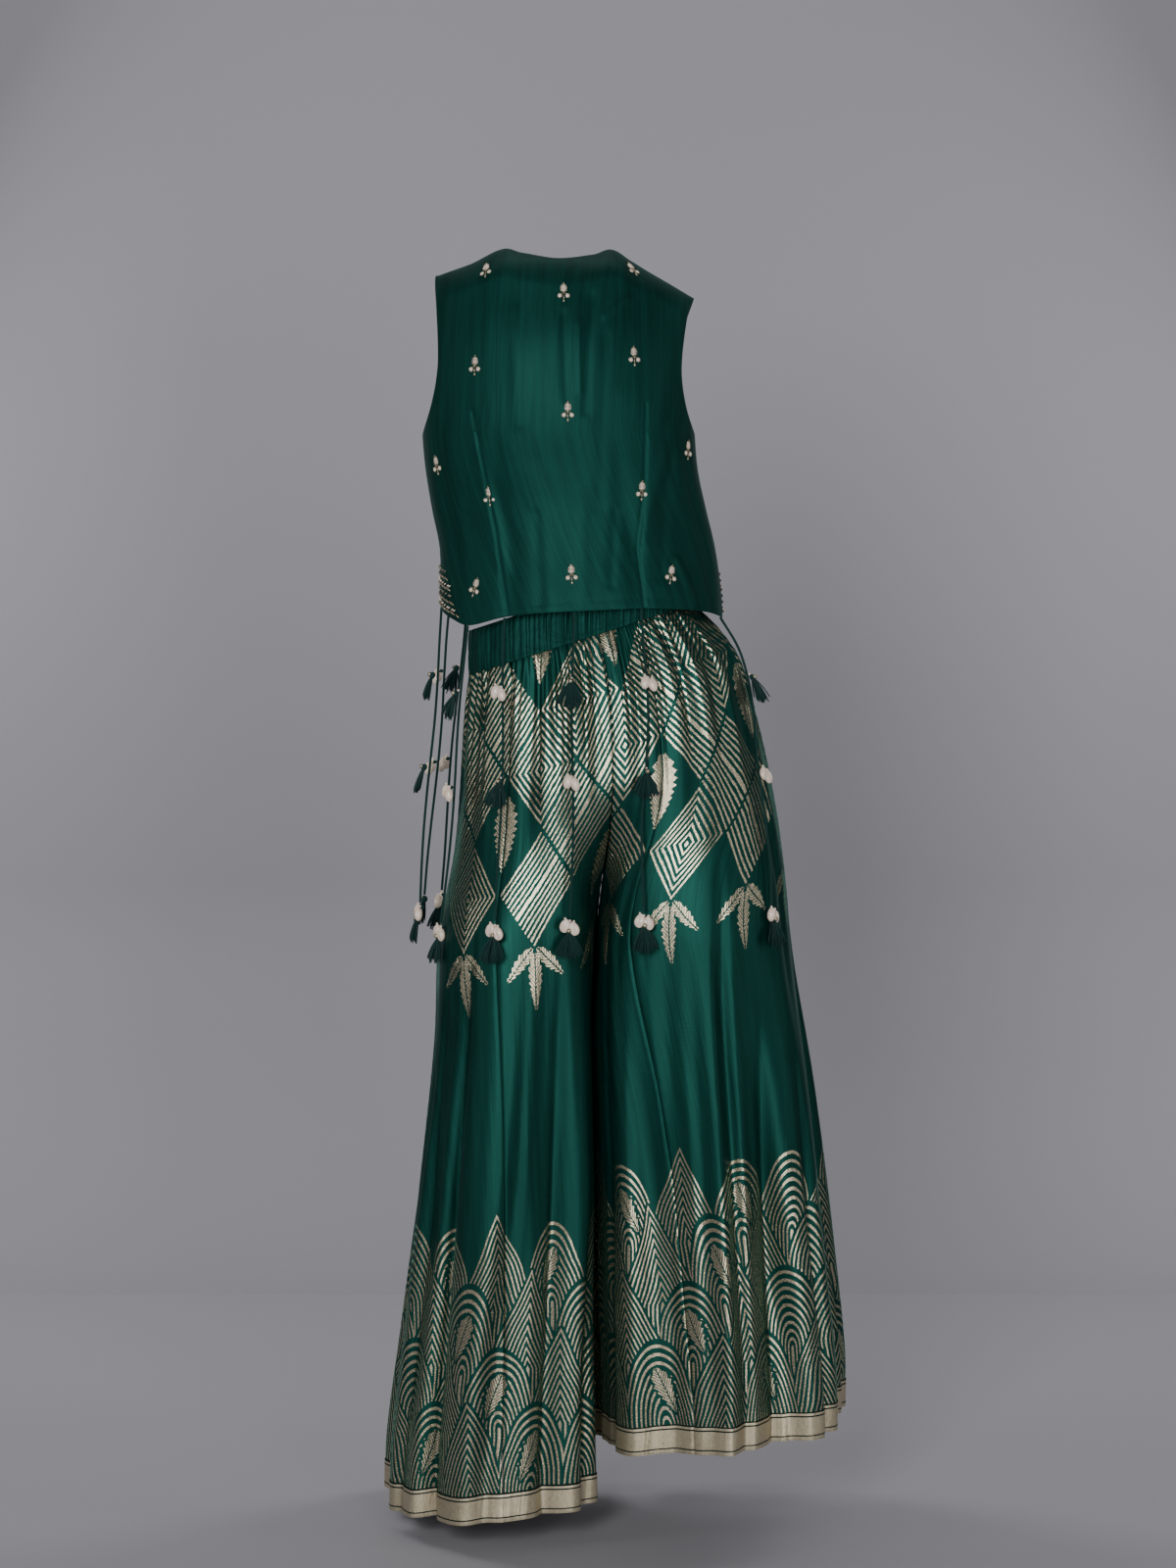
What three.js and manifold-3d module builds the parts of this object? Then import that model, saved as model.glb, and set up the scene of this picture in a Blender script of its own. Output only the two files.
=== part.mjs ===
// A south asian palazzo suit in worn pose: a sleeveless top with cords and tassels hanging from
// its hem, and wide trousers gathered onto an elastic waistband.
// Millimetres, +Z up. The wearer's back faces -Y and the origin is the middle of the waist.
import * as THREE from 'three';
import Module from 'manifold-3d';

const wasm = await Module();
wasm.setup();
const { Manifold } = wasm;

// driving sizes
const CLOTH_TOP = 1.8; // wall of the top
const CLOTH_LEG = 1.6; // wall of the trouser legs
const CLOTH_BAND = 2.4; // wall of the gathered waistband
const CLOTH_BORDER = 1.2; // wall of the hem border strips
const SEAM_GAP = 0.3; // space between neighbouring pieces
const CORD_RADIUS = 1.5;
const CORD_LENGTH = 355;
const CORD_STEPS = 8;
const BAND_HEIGHT = 53;
const BAND_GATHERS = 46;
const BAND_GATHER_DEPTH = 1.5;
const LEG_GATHERS = 13; // half waves in the gathered top of each leg panel loop
const BORDER_HEIGHT = 33;
const STRANDS = 6; // strands of a tassel
const BEAD_RADIUS = 4.8;
const GREEN = 0x0d4a40;
const DARK_GREEN = 0x06302b;
const GOLD = 0xb8a678;
const IVORY = 0xe6dccb;

// small helpers
const clamp01 = (value) => Math.min(1, Math.max(0, value));
const lerp = (a, b, t) => a + (b - a) * t;
const radians = (degrees) => (degrees * Math.PI) / 180;

function smooth(a, b, value) {
  const t = clamp01((value - a) / (b - a));
  return t * t * (3 - 2 * t);
}

// reads a table of rows, each with its key first, joined by straight or eased steps
function fromTable(table, key, column) {
  const last = table.length - 1;
  if (key <= table[0][0]) return table[0][column];
  if (key >= table[last][0]) return table[last][column];
  let row = 0;
  while (key > table[row + 1][0]) row += 1;
  const span = table[row + 1][0] - table[row][0];
  const t = (key - table[row][0]) / span;
  const slopeAt = (at) => {
    const before = table[Math.max(0, at - 1)];
    const after = table[Math.min(last, at + 1)];
    return (after[column] - before[column]) / (after[0] - before[0]);
  };
  const a = table[row][column];
  const b = table[row + 1][column];
  const t2 = t * t;
  const t3 = t2 * t;
  return (
    (2 * t3 - 3 * t2 + 1) * a +
    (t3 - 2 * t2 + t) * span * slopeAt(row) +
    (3 * t2 - 2 * t3) * b +
    (t3 - t2) * span * slopeAt(row + 1)
  );
}

function material(name, color, roughness, metalness) {
  const made = new THREE.MeshStandardMaterial({ color, roughness, metalness });
  made.name = name;
  return made;
}

// the normal of a surface function, by small steps on both sides
function surfaceNormal(surface, u, v, bounds) {
  const step = 0.002;
  const u0 = Math.max(bounds[0], u - step);
  const u1 = Math.min(bounds[1], u + step);
  const v0 = Math.max(0, v - step);
  const v1 = Math.min(1, v + step);
  const along = surface(u1, v).sub(surface(u0, v));
  const up = surface(u, v1).sub(surface(u, v0));
  return along.cross(up).normalize();
}

// a closed cloth wall: an outer grid, an inner grid one wall further in, and the edges between them
function clothWall(surface, columns, rows, wall, lift, closed, side) {
  const bounds = [columns[0], columns[columns.length - 1]];
  const range = closed ? [-Infinity, Infinity] : bounds;
  const points = [];
  const across = closed ? columns.length - 1 : columns.length;
  for (const depth of [lift, lift - wall]) {
    for (const v of rows) {
      for (let i = 0; i < across; i += 1) {
        const normal = surfaceNormal(surface, columns[i], v, range);
        points.push(surface(columns[i], v).addScaledVector(normal, depth * side));
      }
    }
  }
  const layer = rows.length * across;
  const at = (k, j, i) => k * layer + j * across + (i % across);
  const faces = [];
  const quad = (a, b, c, d) => faces.push(a, b, c, a, c, d);
  const spans = closed ? across : across - 1;
  for (let j = 0; j + 1 < rows.length; j += 1) {
    for (let i = 0; i < spans; i += 1) {
      quad(at(0, j, i), at(0, j, i + 1), at(0, j + 1, i + 1), at(0, j + 1, i));
      quad(at(1, j, i), at(1, j + 1, i), at(1, j + 1, i + 1), at(1, j, i + 1));
    }
  }
  const top = rows.length - 1;
  for (let i = 0; i < spans; i += 1) {
    quad(at(0, 0, i), at(1, 0, i), at(1, 0, i + 1), at(0, 0, i + 1));
    quad(at(0, top, i), at(0, top, i + 1), at(1, top, i + 1), at(1, top, i));
  }
  if (!closed) {
    const end = across - 1;
    for (let j = 0; j < top; j += 1) {
      quad(at(0, j, 0), at(0, j + 1, 0), at(1, j + 1, 0), at(1, j, 0));
      quad(at(0, j, end), at(1, j, end), at(1, j + 1, end), at(0, j + 1, end));
    }
  }
  return closedGeometry(points, faces);
}

// geometry from points and faces, turned so that its faces look outwards
function closedGeometry(points, faces) {
  let volume = 0;
  for (let f = 0; f < faces.length; f += 3) {
    const [a, b, c] = [points[faces[f]], points[faces[f + 1]], points[faces[f + 2]]];
    volume += a.dot(b.clone().cross(c));
  }
  if (volume < 0) {
    for (let f = 0; f < faces.length; f += 3) {
      [faces[f + 1], faces[f + 2]] = [faces[f + 2], faces[f + 1]];
    }
  }
  const geometry = new THREE.BufferGeometry();
  const flat = points.flatMap((point) => [point.x, point.y, point.z]);
  geometry.setAttribute('position', new THREE.Float32BufferAttribute(flat, 3));
  geometry.setIndex(faces);
  geometry.computeVertexNormals();
  return geometry;
}

function steps(from, to, count) {
  return Array.from({ length: count + 1 }, (_, i) => lerp(from, to, i / count));
}

// Trousers.

// heights below the waist and the sides and the middle line between the legs there
// v, left side x, right side x, middle x, back depth, front depth
const LEG_TABLE = [
  [0.0, -150, 120, 6, 99, 98],
  [0.03, -154, 150, 12, 108, 104],
  [0.07, -157, 176, 18, 118, 108],
  [0.14, -160, 196, 22, 126, 110],
  [0.22, -168, 214, 20, 130, 112],
  [0.32, -187, 230, 8, 134, 116],
  [0.45, -192, 242, -4, 138, 122],
  [0.6, -206, 262, -12, 146, 130],
  [0.8, -228, 284, -14, 156, 142],
  [0.93, -244, 297, -12, 161, 150],
  [1.0, -246, 297, -11, 163, 152],
];
const WAIST_SLOPE = 0.32; // the waist rises to the right
const WAIST_LEVEL = -50;
const FORK_START = 0.17; // the seam between the legs starts to curve under
const FORK_END = 0.39; // and ends at the fork
const LEG = {
  left: {
    sign: -1,
    sideColumn: 1,
    hemSide: -1083,
    hemMiddle: -1066,
    // v, place of the seam down the back of the leg
    seam: [
      [0, 0.4],
      [0.3, 0.44],
      [0.6, 0.5],
      [1, 0.53],
    ],
    // place at the hem, place at the waist, depth, width, start
    folds: [
      [-0.86, -0.8, -9, 0.06, 0.4],
      [-0.68, -0.7, 12, 0.09, 0.2],
      [-0.52, -0.56, -14, 0.07, 0.16],
      [-0.36, -0.4, 11, 0.08, 0.24],
      [-0.2, -0.24, -13, 0.07, 0.2],
      [-0.05, -0.1, 7, 0.08, 0.3],
      [0.1, 0.12, -13, 0.06, 0.22],
      [0.24, 0.22, 9, 0.08, 0.16],
      [0.36, 0.33, -12, 0.055, 0.3],
      [0.5, 0.44, 10, 0.08, 0.2],
      [0.62, 0.58, -13, 0.06, 0.14],
      [0.73, 0.7, 8, 0.07, 0.24],
      [0.84, 0.84, -9, 0.05, 0.3],
    ],
  },
  right: {
    sign: 1,
    sideColumn: 2,
    hemSide: -985,
    hemMiddle: -1004,
    seam: [
      [0, 0.72],
      [0.3, 0.7],
      [0.6, 0.62],
      [1, 0.58],
    ],
    folds: [
      [-0.84, -0.82, -9, 0.06, 0.4],
      [-0.7, -0.66, 11, 0.08, 0.24],
      [-0.54, -0.52, -13, 0.07, 0.18],
      [-0.38, -0.4, 12, 0.09, 0.2],
      [-0.22, -0.26, -12, 0.06, 0.26],
      [-0.07, -0.06, 8, 0.08, 0.3],
      [0.09, 0.1, -10, 0.05, 0.3],
      [0.22, 0.2, 9, 0.07, 0.2],
      [0.37, 0.34, -18, 0.06, 0.32],
      [0.5, 0.46, 11, 0.07, 0.16],
      [0.6, 0.6, -10, 0.05, 0.22],
      [0.72, 0.72, 9, 0.07, 0.26],
      [0.85, 0.84, -8, 0.05, 0.3],
    ],
  },
};

// distance from the centre of a rounded oval in direction angle
function ovalRadius(angle, a, b, power) {
  const c = Math.abs(Math.cos(angle)) / a;
  const s = Math.abs(Math.sin(angle)) / b;
  return (c ** power + s ** power) ** (-1 / power);
}

// one leg's surface: place runs from -1 (front, inside) over 0 (outside) to 1 (back, inside)
// and v from 0 at the waist to 1 at the hem
function legPoint(leg, place, v) {
  const side = fromTable(LEG_TABLE, v, leg.sideColumn);
  const middle = fromTable(LEG_TABLE, v, 3);
  const back = place >= 0;
  const t = Math.abs(place);
  const depth = fromTable(LEG_TABLE, v, back ? 4 : 5);
  const fork = smooth(FORK_START, FORK_END, v);
  const apart = lerp(SEAM_GAP / 2, 2, smooth(FORK_END, 0.75, v));
  // hips: a quarter of the oval round both legs
  const halfAngle = (t * Math.PI) / 2;
  const reach = Math.abs(side - middle) - SEAM_GAP / 2;
  const hipRadius = ovalRadius(halfAngle, reach, depth, 2.15);
  const hipX = middle + leg.sign * (SEAM_GAP / 2 + hipRadius * Math.cos(halfAngle));
  const hipY = hipRadius * Math.sin(halfAngle);
  // below the fork: half of the oval round one leg
  const angle = t * Math.PI;
  const inner = middle + leg.sign * apart;
  const half = Math.abs(side - inner) / 2;
  const centre = (side + inner) / 2;
  const power = 2.15 + 1.1 * smooth(0.4, 0.8, t);
  const legRadius = ovalRadius(angle, half, depth, power);
  const legX = centre + leg.sign * legRadius * Math.cos(angle);
  const legY = legRadius * Math.sin(angle);
  let x = lerp(hipX, legX, fork);
  let y = lerp(hipY, legY, fork);
  // folds move the cloth along the plan's normal, none at the inside edges
  const plan = lerp(halfAngle, angle, fork);
  const normalX = leg.sign * Math.cos(plan) * depth;
  const normalY = Math.sin(plan) * lerp(reach, half, fork);
  const size = Math.hypot(normalX, normalY) || 1;
  const push = foldPush(leg, place, v) * (1 - smooth(0.88, 0.99, t));
  x += (push * normalX) / size;
  y += (push * normalY) / size;
  const sideTop = WAIST_LEVEL + WAIST_SLOPE * LEG_TABLE[0][leg.sideColumn];
  const middleTop = WAIST_LEVEL + WAIST_SLOPE * LEG_TABLE[0][3];
  const sideZ = lerp(sideTop, leg.hemSide, v);
  const shared = lerp(middleTop, -1035, v);
  const middleZ = shared + (leg.hemMiddle + 1035) * smooth(FORK_END, 1, v);
  const inward = clamp01(Math.abs(x - side) / Math.abs(middle - side));
  const z = lerp(sideZ, middleZ, inward) - SEAM_GAP;
  // low down the plane between the legs is slanted: the left leg laps over the right one behind
  const slant = 0.2 * smooth(0.3, 0.7, v) * inward * inward;
  return new THREE.Vector3(x + slant * (back ? y : -y), back ? -y : y, z);
}

// folds of the named table, growing towards the hem, and gathers dying out below the waist
function foldPush(leg, place, v) {
  let push = 0;
  for (const [atHem, atWaist, depth, width, start] of leg.folds) {
    const at = lerp(atWaist, atHem, v);
    const d = (place - at) / width;
    const grown = smooth(start, start + 0.5, v) * lerp(0.7, 1.15, v);
    push += depth * grown * Math.exp(-d * d);
  }
  const gather = 3.2 * smooth(0.3, 0.04, v) * smooth(0, 0.03, v);
  return push + gather * Math.cos(place * LEG_GATHERS * Math.PI) - gather * 0.4;
}

const BORDER_START = 1 - BORDER_HEIGHT / 985;
const LEG_ROWS = [
  0, 0.035, 0.08, 0.14, 0.21, 0.27, 0.33, 0.39, 0.46, 0.54, 0.62, 0.7, 0.78, 0.87, BORDER_START, 1,
];

// a panel between two lines down the leg, each line given as a function of v
function legPanel(leg, fromLine, toLine, columns) {
  const surface = (u, v) => legPoint(leg, lerp(fromLine(v), toLine(v), u), v);
  const side = leg.sign;
  return clothWall(surface, steps(0, 1, columns), LEG_ROWS, CLOTH_LEG, 0, false, side);
}

const halfGap = 0.00045; // half a seam gap in places along a leg
const seamLine = (leg, offset) => (v) => fromTable(leg.seam, v, 1) + offset;
const fixedLine = (place) => () => place;

// the panels of a leg with their two lines and number of columns, from the front's inside round
const panelsOf = (leg, gap) => [
  ['front', fixedLine(-1 + gap), fixedLine(-gap), 20],
  ['back_outer', fixedLine(gap), seamLine(leg, -gap), 14],
  ['back_inner', seamLine(leg, gap), fixedLine(1 - gap), 13],
];

function legPanels(name, leg, fabric) {
  return panelsOf(leg, halfGap).map(([part, from, to, columns]) => {
    const mesh = new THREE.Mesh(legPanel(leg, from, to, columns), fabric());
    mesh.name = `${name}_${part}`;
    return mesh;
  });
}

// the border lies on the leg's hem: it uses the panels' own columns, joined straight and moved out,
// with one column at each seam
function hemBorder(name, leg) {
  const lines = panelsOf(leg, 0).flatMap(([, from, to, columns]) =>
    steps(0, 1, columns).slice(0, -1).map((t) => (v) => lerp(from(v), to(v), t)),
  );
  const count = lines.length;
  const surface = (u, v) => {
    const row = lerp(BORDER_START, 1, v);
    const index = Math.floor(u);
    const at = (k) => legPoint(leg, lines[((k % count) + count) % count](row), row);
    return at(index).lerp(at(index + 1), u - index);
  };
  const lift = SEAM_GAP + CLOTH_BORDER;
  const columns = steps(0, count, count);
  const geometry = clothWall(surface, columns, [0, 1], CLOTH_BORDER, lift, true, leg.sign);
  const mesh = new THREE.Mesh(geometry, material('gold_tissue', GOLD, 0.42, 0.6));
  mesh.name = name;
  return mesh;
}

// Waistband: a ring with gathers, its lower edge on the waist line of the legs.

function bandPoint(u, v) {
  const angle = u * Math.PI * 2;
  const [, left, right, middle, back, front] = LEG_TABLE[0];
  const sideways = Math.cos(angle);
  const reach = sideways < 0 ? middle - left : right - middle;
  const depth = Math.sin(angle) < 0 ? back : front;
  const radius = ovalRadius(angle, reach, depth, 2.15);
  const wave = BAND_GATHER_DEPTH * Math.cos(angle * BAND_GATHERS) * (0.8 + 0.2 * Math.sin(angle * 5));
  const grown = (radius + wave - 1) / radius;
  const x = middle + radius * grown * sideways;
  const y = radius * grown * Math.sin(angle);
  return new THREE.Vector3(x, y, WAIST_LEVEL + WAIST_SLOPE * x + BAND_HEIGHT * v);
}

function waistband() {
  const columns = steps(0, 1, BAND_GATHERS * 4);
  const geometry = clothWall(bandPoint, columns, [0, 1], CLOTH_BAND, 0, true, 1);
  const mesh = new THREE.Mesh(geometry, material('green_gathered_silk', GREEN, 0.5, 0));
  mesh.name = 'waistband';
  return mesh;
}

// Top.

// height, middle x, half width, back depth, front depth
const TOP_TABLE = [
  [-40, -14, 170, 119, 117],
  [0, -15, 169, 114, 113],
  [53, -19, 166, 106, 108],
  [100, -29, 165, 104, 113],
  [148, -38, 164, 109, 119],
  [195, -42, 164, 115, 122],
  [242, -43, 163, 116, 117],
  [300, -41, 162, 110, 103],
  [360, -37, 161, 92, 82],
  [400, -35, 160, 80, 66],
];
// height, left side seam, right side seam (degrees from the middle of the back)
const SIDE_SEAMS = [
  [-40, -52, 88],
  [0, -62, 89],
  [53, -75, 90],
  [100, -80, 90],
  [148, -85, 90],
  [195, -90, 90],
];
const ARMPIT = 190; // height where the armholes start
// x, height of the shoulder line and back neck edge
const BACK_EDGE = [
  [-186, 382],
  [-148, 395],
  [-108, 413],
  [-85, 406],
  [-43, 398],
  [0, 404],
  [22, 412],
  [45, 399],
  [75, 381],
  [124, 353],
];
const NECK_MIDDLE = -43;
const NECK_HALF = 65;
const SHOULDER_TURN = 0.6; // part of the armhole height where the cloth starts to turn over

// height of the hem round the top, by degrees from the middle of the back
const HEM_TABLE = [
  [-180, -8],
  [-130, -10],
  [-90, -16],
  [-66, -30],
  [-52, -38],
  [-30, -27],
  [0, -21],
  [30, -18],
  [60, -22],
  [90, -29],
  [130, -14],
  [180, -8],
];

function torsoAt(height, degrees) {
  const middle = fromTable(TOP_TABLE, height, 1);
  const half = fromTable(TOP_TABLE, height, 2);
  const back = Math.abs(degrees) <= 90;
  const depth = fromTable(TOP_TABLE, height, back ? 3 : 4);
  const angle = radians(degrees);
  const round = Math.abs(Math.cos(angle)) ** 0.88;
  const x = middle + half * Math.sin(angle);
  return [x, back ? -depth * round : depth * round];
}

// wrinkles of the top: degrees, depth, width, lowest height, highest height
const TOP_WRINKLES = [
  [-30, -2.2, 5, -60, 150],
  [24, -2.4, 5, -60, 170],
  [-12, 2.0, 7, -60, 120],
  [48, 1.8, 7, -60, 90],
  [66, -2.0, 6, 0, 200],
  [-62, -1.8, 6, 20, 200],
  [150, -2.2, 7, -60, 120],
  [-150, -2.4, 7, -60, 120],
  [158, 1.8, 9, -60, 90],
  [120, 1.8, 8, 0, 170],
  [-118, 1.8, 8, 0, 170],
];

function topWrinkle(degrees, height) {
  let push = 0;
  for (const [at, depth, width, low, high] of TOP_WRINKLES) {
    const d = (degrees - at) / width;
    const along = smooth(low - 40, low + 30, height) * smooth(high + 40, high - 40, height);
    push += depth * along * Math.exp(-d * d);
  }
  return push;
}

// side +1 is the back piece, -1 the front piece; u runs 0..1 across and v 0..1 upwards
function topPoint(side, u, v) {
  const isBack = side > 0;
  const hemPart = 0.5;
  const below = clamp01(v / hemPart);
  const above = clamp01((v - hemPart) / (1 - hemPart));
  const level = v <= hemPart ? lerp(-30, ARMPIT, below) : lerp(ARMPIT, 400, above);
  // edges of the piece in degrees, drawn in round the armholes
  const leftSeam = fromTable(SIDE_SEAMS, level, 1);
  const rightSeam = fromTable(SIDE_SEAMS, level, 2);
  const hole = Math.sqrt(1 - (1 - clamp01(above / 0.34)) ** 2);
  const leftIn = hole * lerp(29, 16, smooth(0.3, 1, above));
  const rightIn = hole * lerp(25, 12, smooth(0.3, 1, above));
  const gap = 0.055;
  let degrees;
  if (isBack) {
    degrees = lerp(leftSeam + leftIn + gap, rightSeam - rightIn - gap, u);
  } else {
    const from = rightSeam + rightIn * 1.2 + gap;
    const to = leftSeam + 360 - leftIn * 1.2 - gap;
    degrees = lerp(from, to, u);
  }
  const wrapped = degrees > 180 ? degrees - 360 : degrees;
  const hem = fromTable(HEM_TABLE, wrapped, 1);
  const bodyHeight = v <= hemPart ? lerp(hem, ARMPIT, below) : level;
  let [x, y] = torsoAt(bodyHeight, wrapped);
  let z = bodyHeight;
  if (above > 0) {
    // the upper edge: shoulder line and neck edge, the front neck lower
    const fromNeck = (x - NECK_MIDDLE) / NECK_HALF;
    const inNeck = clamp01(1 - fromNeck * fromNeck);
    let edge = fromTable(BACK_EDGE, x, 1);
    if (!isBack) edge -= 92 * inNeck ** 0.8;
    const low = lerp(ARMPIT, edge, (0.82 * Math.min(above, SHOULDER_TURN)) / SHOULDER_TURN);
    const turn = clamp01((above - SHOULDER_TURN) / (1 - SHOULDER_TURN));
    const arc = (turn * Math.PI) / 2;
    z = low + (edge - lerp(ARMPIT, edge, 0.82)) * Math.sin(arc);
    const body = torsoAt(z, wrapped);
    const outer = clamp01((Math.abs(x - NECK_MIDDLE) - NECK_HALF) / 90);
    const seamY = lerp(-16, -6, outer);
    const backNeck = seamY - 44 * inNeck;
    const goal = isBack ? backNeck - SEAM_GAP / 2 : seamY + SEAM_GAP / 2 + (body[1] - seamY) * inNeck ** 0.8;
    y = lerp(body[1], goal, 1 - Math.cos(arc));
  }
  const away = Math.hypot(x + 20, y) || 1;
  const push = topWrinkle(wrapped, z);
  return new THREE.Vector3(x + (push * (x + 20)) / away, y + (push * y) / away, z);
}

const TOP_COLUMNS = { back: 24, front: 20 };

function topPiece(name, side, columns) {
  const rows = [0, 0.08, 0.17, 0.26, 0.35, 0.43, 0.5, 0.512, 0.54, 0.59, 0.65, 0.75, 0.84, 0.92, 1];
  const surface = (u, v) => topPoint(side, u, v);
  const geometry = clothWall(surface, steps(0, 1, columns), rows, CLOTH_TOP, 0, false, 1);
  const mesh = new THREE.Mesh(geometry, material('green_silk', GREEN, 0.45, 0));
  mesh.name = name;
  return mesh;
}

// Cords and their ornaments.

// degrees on the hem; end x and y; what hangs at the three levels
const CORDS = [
  ['back_a', -53, -181, -56, 'tassel', 'pearls', 'cowries'],
  ['back_b', -33, -113, -140, 'pearls', 'tassel', 'cowries'],
  ['back_c', -3, -28, -140, 'tassel', 'pearls', 'cowries'],
  ['back_d', 25, 58, -140, 'pearls', 'tassel', 'cowries'],
  ['back_e', 80, 184, -90, 'tassel', 'cowries', 'pearls'],
  ['front_a', -88, -208, -12, 'tassel', 'tassel', 'pearls'],
  ['front_b', -108, -203, 34, 'pearls', 'pearls', 'tassel'],
  ['front_c', -124, -188, 78, 'tassel', 'pearls', 'cowries'],
  ['front_d', 172, -10, 120, 'pearls', 'tassel', 'cowries'],
  ['front_e', 124, 150, 110, 'tassel', 'pearls', 'cowries'],
];
const LEVELS = [
  ['upper', 79],
  ['middle', 195],
  ['end', 355],
];

// points on both legs' outer faces, by which the cords rest on the cloth
const legSamples = [LEG.left, LEG.right].flatMap((leg) =>
  steps(0, 0.5, 60).flatMap((v) => steps(-1, 1, 120).map((place) => legPoint(leg, place, v))),
);
const REST_CENTRE = 10;
const REST_SPACE = 2.8; // from the cord's middle to the cloth

// moves a point out from the middle of the body until it is clear of the legs
function restOnLegs(point) {
  const heading = Math.atan2(point.y, point.x - REST_CENTRE);
  let radius = Math.hypot(point.x - REST_CENTRE, point.y);
  for (const sample of legSamples) {
    if (Math.abs(sample.z - point.z) > 16) continue;
    const other = Math.atan2(sample.y, sample.x - REST_CENTRE);
    const turn = Math.abs(Math.atan2(Math.sin(other - heading), Math.cos(other - heading)));
    if (turn > 0.06) continue;
    radius = Math.max(radius, Math.hypot(sample.x - REST_CENTRE, sample.y) + REST_SPACE);
  }
  return new THREE.Vector3(
    REST_CENTRE + radius * Math.cos(heading),
    radius * Math.sin(heading),
    point.z,
  );
}

// the middle of the cloth's edge at the top's hem, on the straight step between two columns
function hemMiddle(degrees) {
  const from = fromTable(SIDE_SEAMS, -30, 1);
  const to = fromTable(SIDE_SEAMS, -30, 2);
  const isBack = degrees >= from && degrees <= to;
  const round = degrees < to ? degrees + 360 : degrees;
  const u = isBack ? (degrees - from) / (to - from) : (round - to) / (from + 360 - to);
  const side = isBack ? 1 : -1;
  const columns = isBack ? TOP_COLUMNS.back : TOP_COLUMNS.front;
  const column = Math.min(columns - 1, Math.floor(u * columns));
  const surface = (a, b) => topPoint(side, a, b);
  const ends = [column / columns, (column + 1) / columns].map((at) =>
    surface(at, 0).addScaledVector(surfaceNormal(surface, at, 0, [0, 1]), -CLOTH_TOP / 2),
  );
  return ends[0].lerp(ends[1], u * columns - column);
}

// the route of a cord: out over the hips, then nearly straight down to its end
function cordRoute(degrees, endX, endY) {
  const start = hemMiddle(degrees);
  start.z -= 2.4 * SEAM_GAP;
  const count = 24;
  const points = [start];
  for (let i = 1; i <= count; i += 1) {
    const t = i / count;
    const swing = 2.2 * Math.sin(t * Math.PI * 2 + degrees) * Math.min(1, t * 3);
    const point = new THREE.Vector3(
      lerp(start.x, endX, t) + swing,
      lerp(start.y, endY, t),
      start.z - CORD_LENGTH * t,
    );
    points.push(restOnLegs(point));
  }
  // the longest way kept, cut at the cord's length
  const smoothed = points.map((point, i) => {
    if (i === 0 || i === count) return point.clone();
    const middle = points[i - 1].clone().add(points[i + 1]).multiplyScalar(0.5);
    const out = middle.lerp(point, 0.5);
    return i < 2 ? out : restOnLegs(out);
  });
  const whole = new THREE.CatmullRomCurve3(smoothed);
  const part = Math.min(1, CORD_LENGTH / whole.getLength());
  const kept = steps(0, part, CORD_STEPS).map((t) => whole.getPointAt(t));
  return new THREE.CatmullRomCurve3(kept);
}

function cordMesh(name, route) {
  const ring = Array.from({ length: 8 }, (_, i) => {
    const angle = (i * Math.PI) / 4;
    return new THREE.Vector2(CORD_RADIUS * Math.cos(angle), CORD_RADIUS * Math.sin(angle));
  });
  const options = { steps: CORD_STEPS, bevelEnabled: false, extrudePath: route };
  const geometry = new THREE.ExtrudeGeometry(new THREE.Shape(ring), options);
  const mesh = new THREE.Mesh(geometry, material('green_cord', DARK_GREEN, 0.7, 0));
  mesh.name = `cord_${name}`;
  return mesh;
}

// a straight strand with three sides from one point to another
function strand(from, to, thick) {
  const axis = to.clone().sub(from);
  const length = axis.length();
  const turn = new THREE.Quaternion().setFromUnitVectors(new THREE.Vector3(0, 0, 1), axis.normalize());
  const matrix = new THREE.Matrix4().compose(from, turn, new THREE.Vector3(1, 1, 1));
  return Manifold.cylinder(length, thick, thick * 0.8, 3).transform(matrix.toArray());
}

// a round body with its size across, outwards and along, leaning sideways by tilt
function oval(centre, size, outward, tilt, sides) {
  const across = new THREE.Vector3(-outward.y, outward.x, 0).normalize();
  const basis = new THREE.Matrix4().makeBasis(across, outward, new THREE.Vector3(0, 0, 1));
  basis.multiply(new THREE.Matrix4().makeRotationY(tilt)).scale(size).setPosition(centre);
  return Manifold.sphere(1, sides).transform(basis.toArray());
}

const bead = (centre, radius, outward) =>
  oval(centre, new THREE.Vector3(radius, radius, radius), outward, 0, 4);

// a tassel: strands fanned to the side away from the cloth, their roots sunk in a bead
function tassel(centre, outward, down, length) {
  const across = new THREE.Vector3().crossVectors(outward, down).normalize();
  const parts = [bead(centre, BEAD_RADIUS, outward)];
  for (let i = 0; i < STRANDS; i += 1) {
    const fan = lerp(-1, 1, i / (STRANDS - 1));
    const front = i % 2 ? 1 : 0.35;
    const root = centre.clone().addScaledVector(across, fan * 1.7);
    root.addScaledVector(outward, 0.9 * front).addScaledVector(down, 1);
    const tip = centre.clone().addScaledVector(across, fan * length * 0.52);
    tip.addScaledVector(outward, 3 + 7 * front);
    tip.addScaledVector(down, length * (0.94 - 0.16 * fan * fan));
    parts.push(strand(root, tip, 1.25));
  }
  return parts;
}

function pair(centre, outward, down, size, drop) {
  const across = new THREE.Vector3().crossVectors(outward, down).normalize();
  const parts = [];
  for (const [way, lower] of [[-1, 0], [1, 3.2]]) {
    const at = centre.clone().addScaledVector(across, way * size.x * 0.8);
    at.addScaledVector(outward, 2.5).addScaledVector(down, drop + lower);
    parts.push(oval(at, size, outward, way * 0.24, 8));
  }
  return parts;
}

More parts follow.
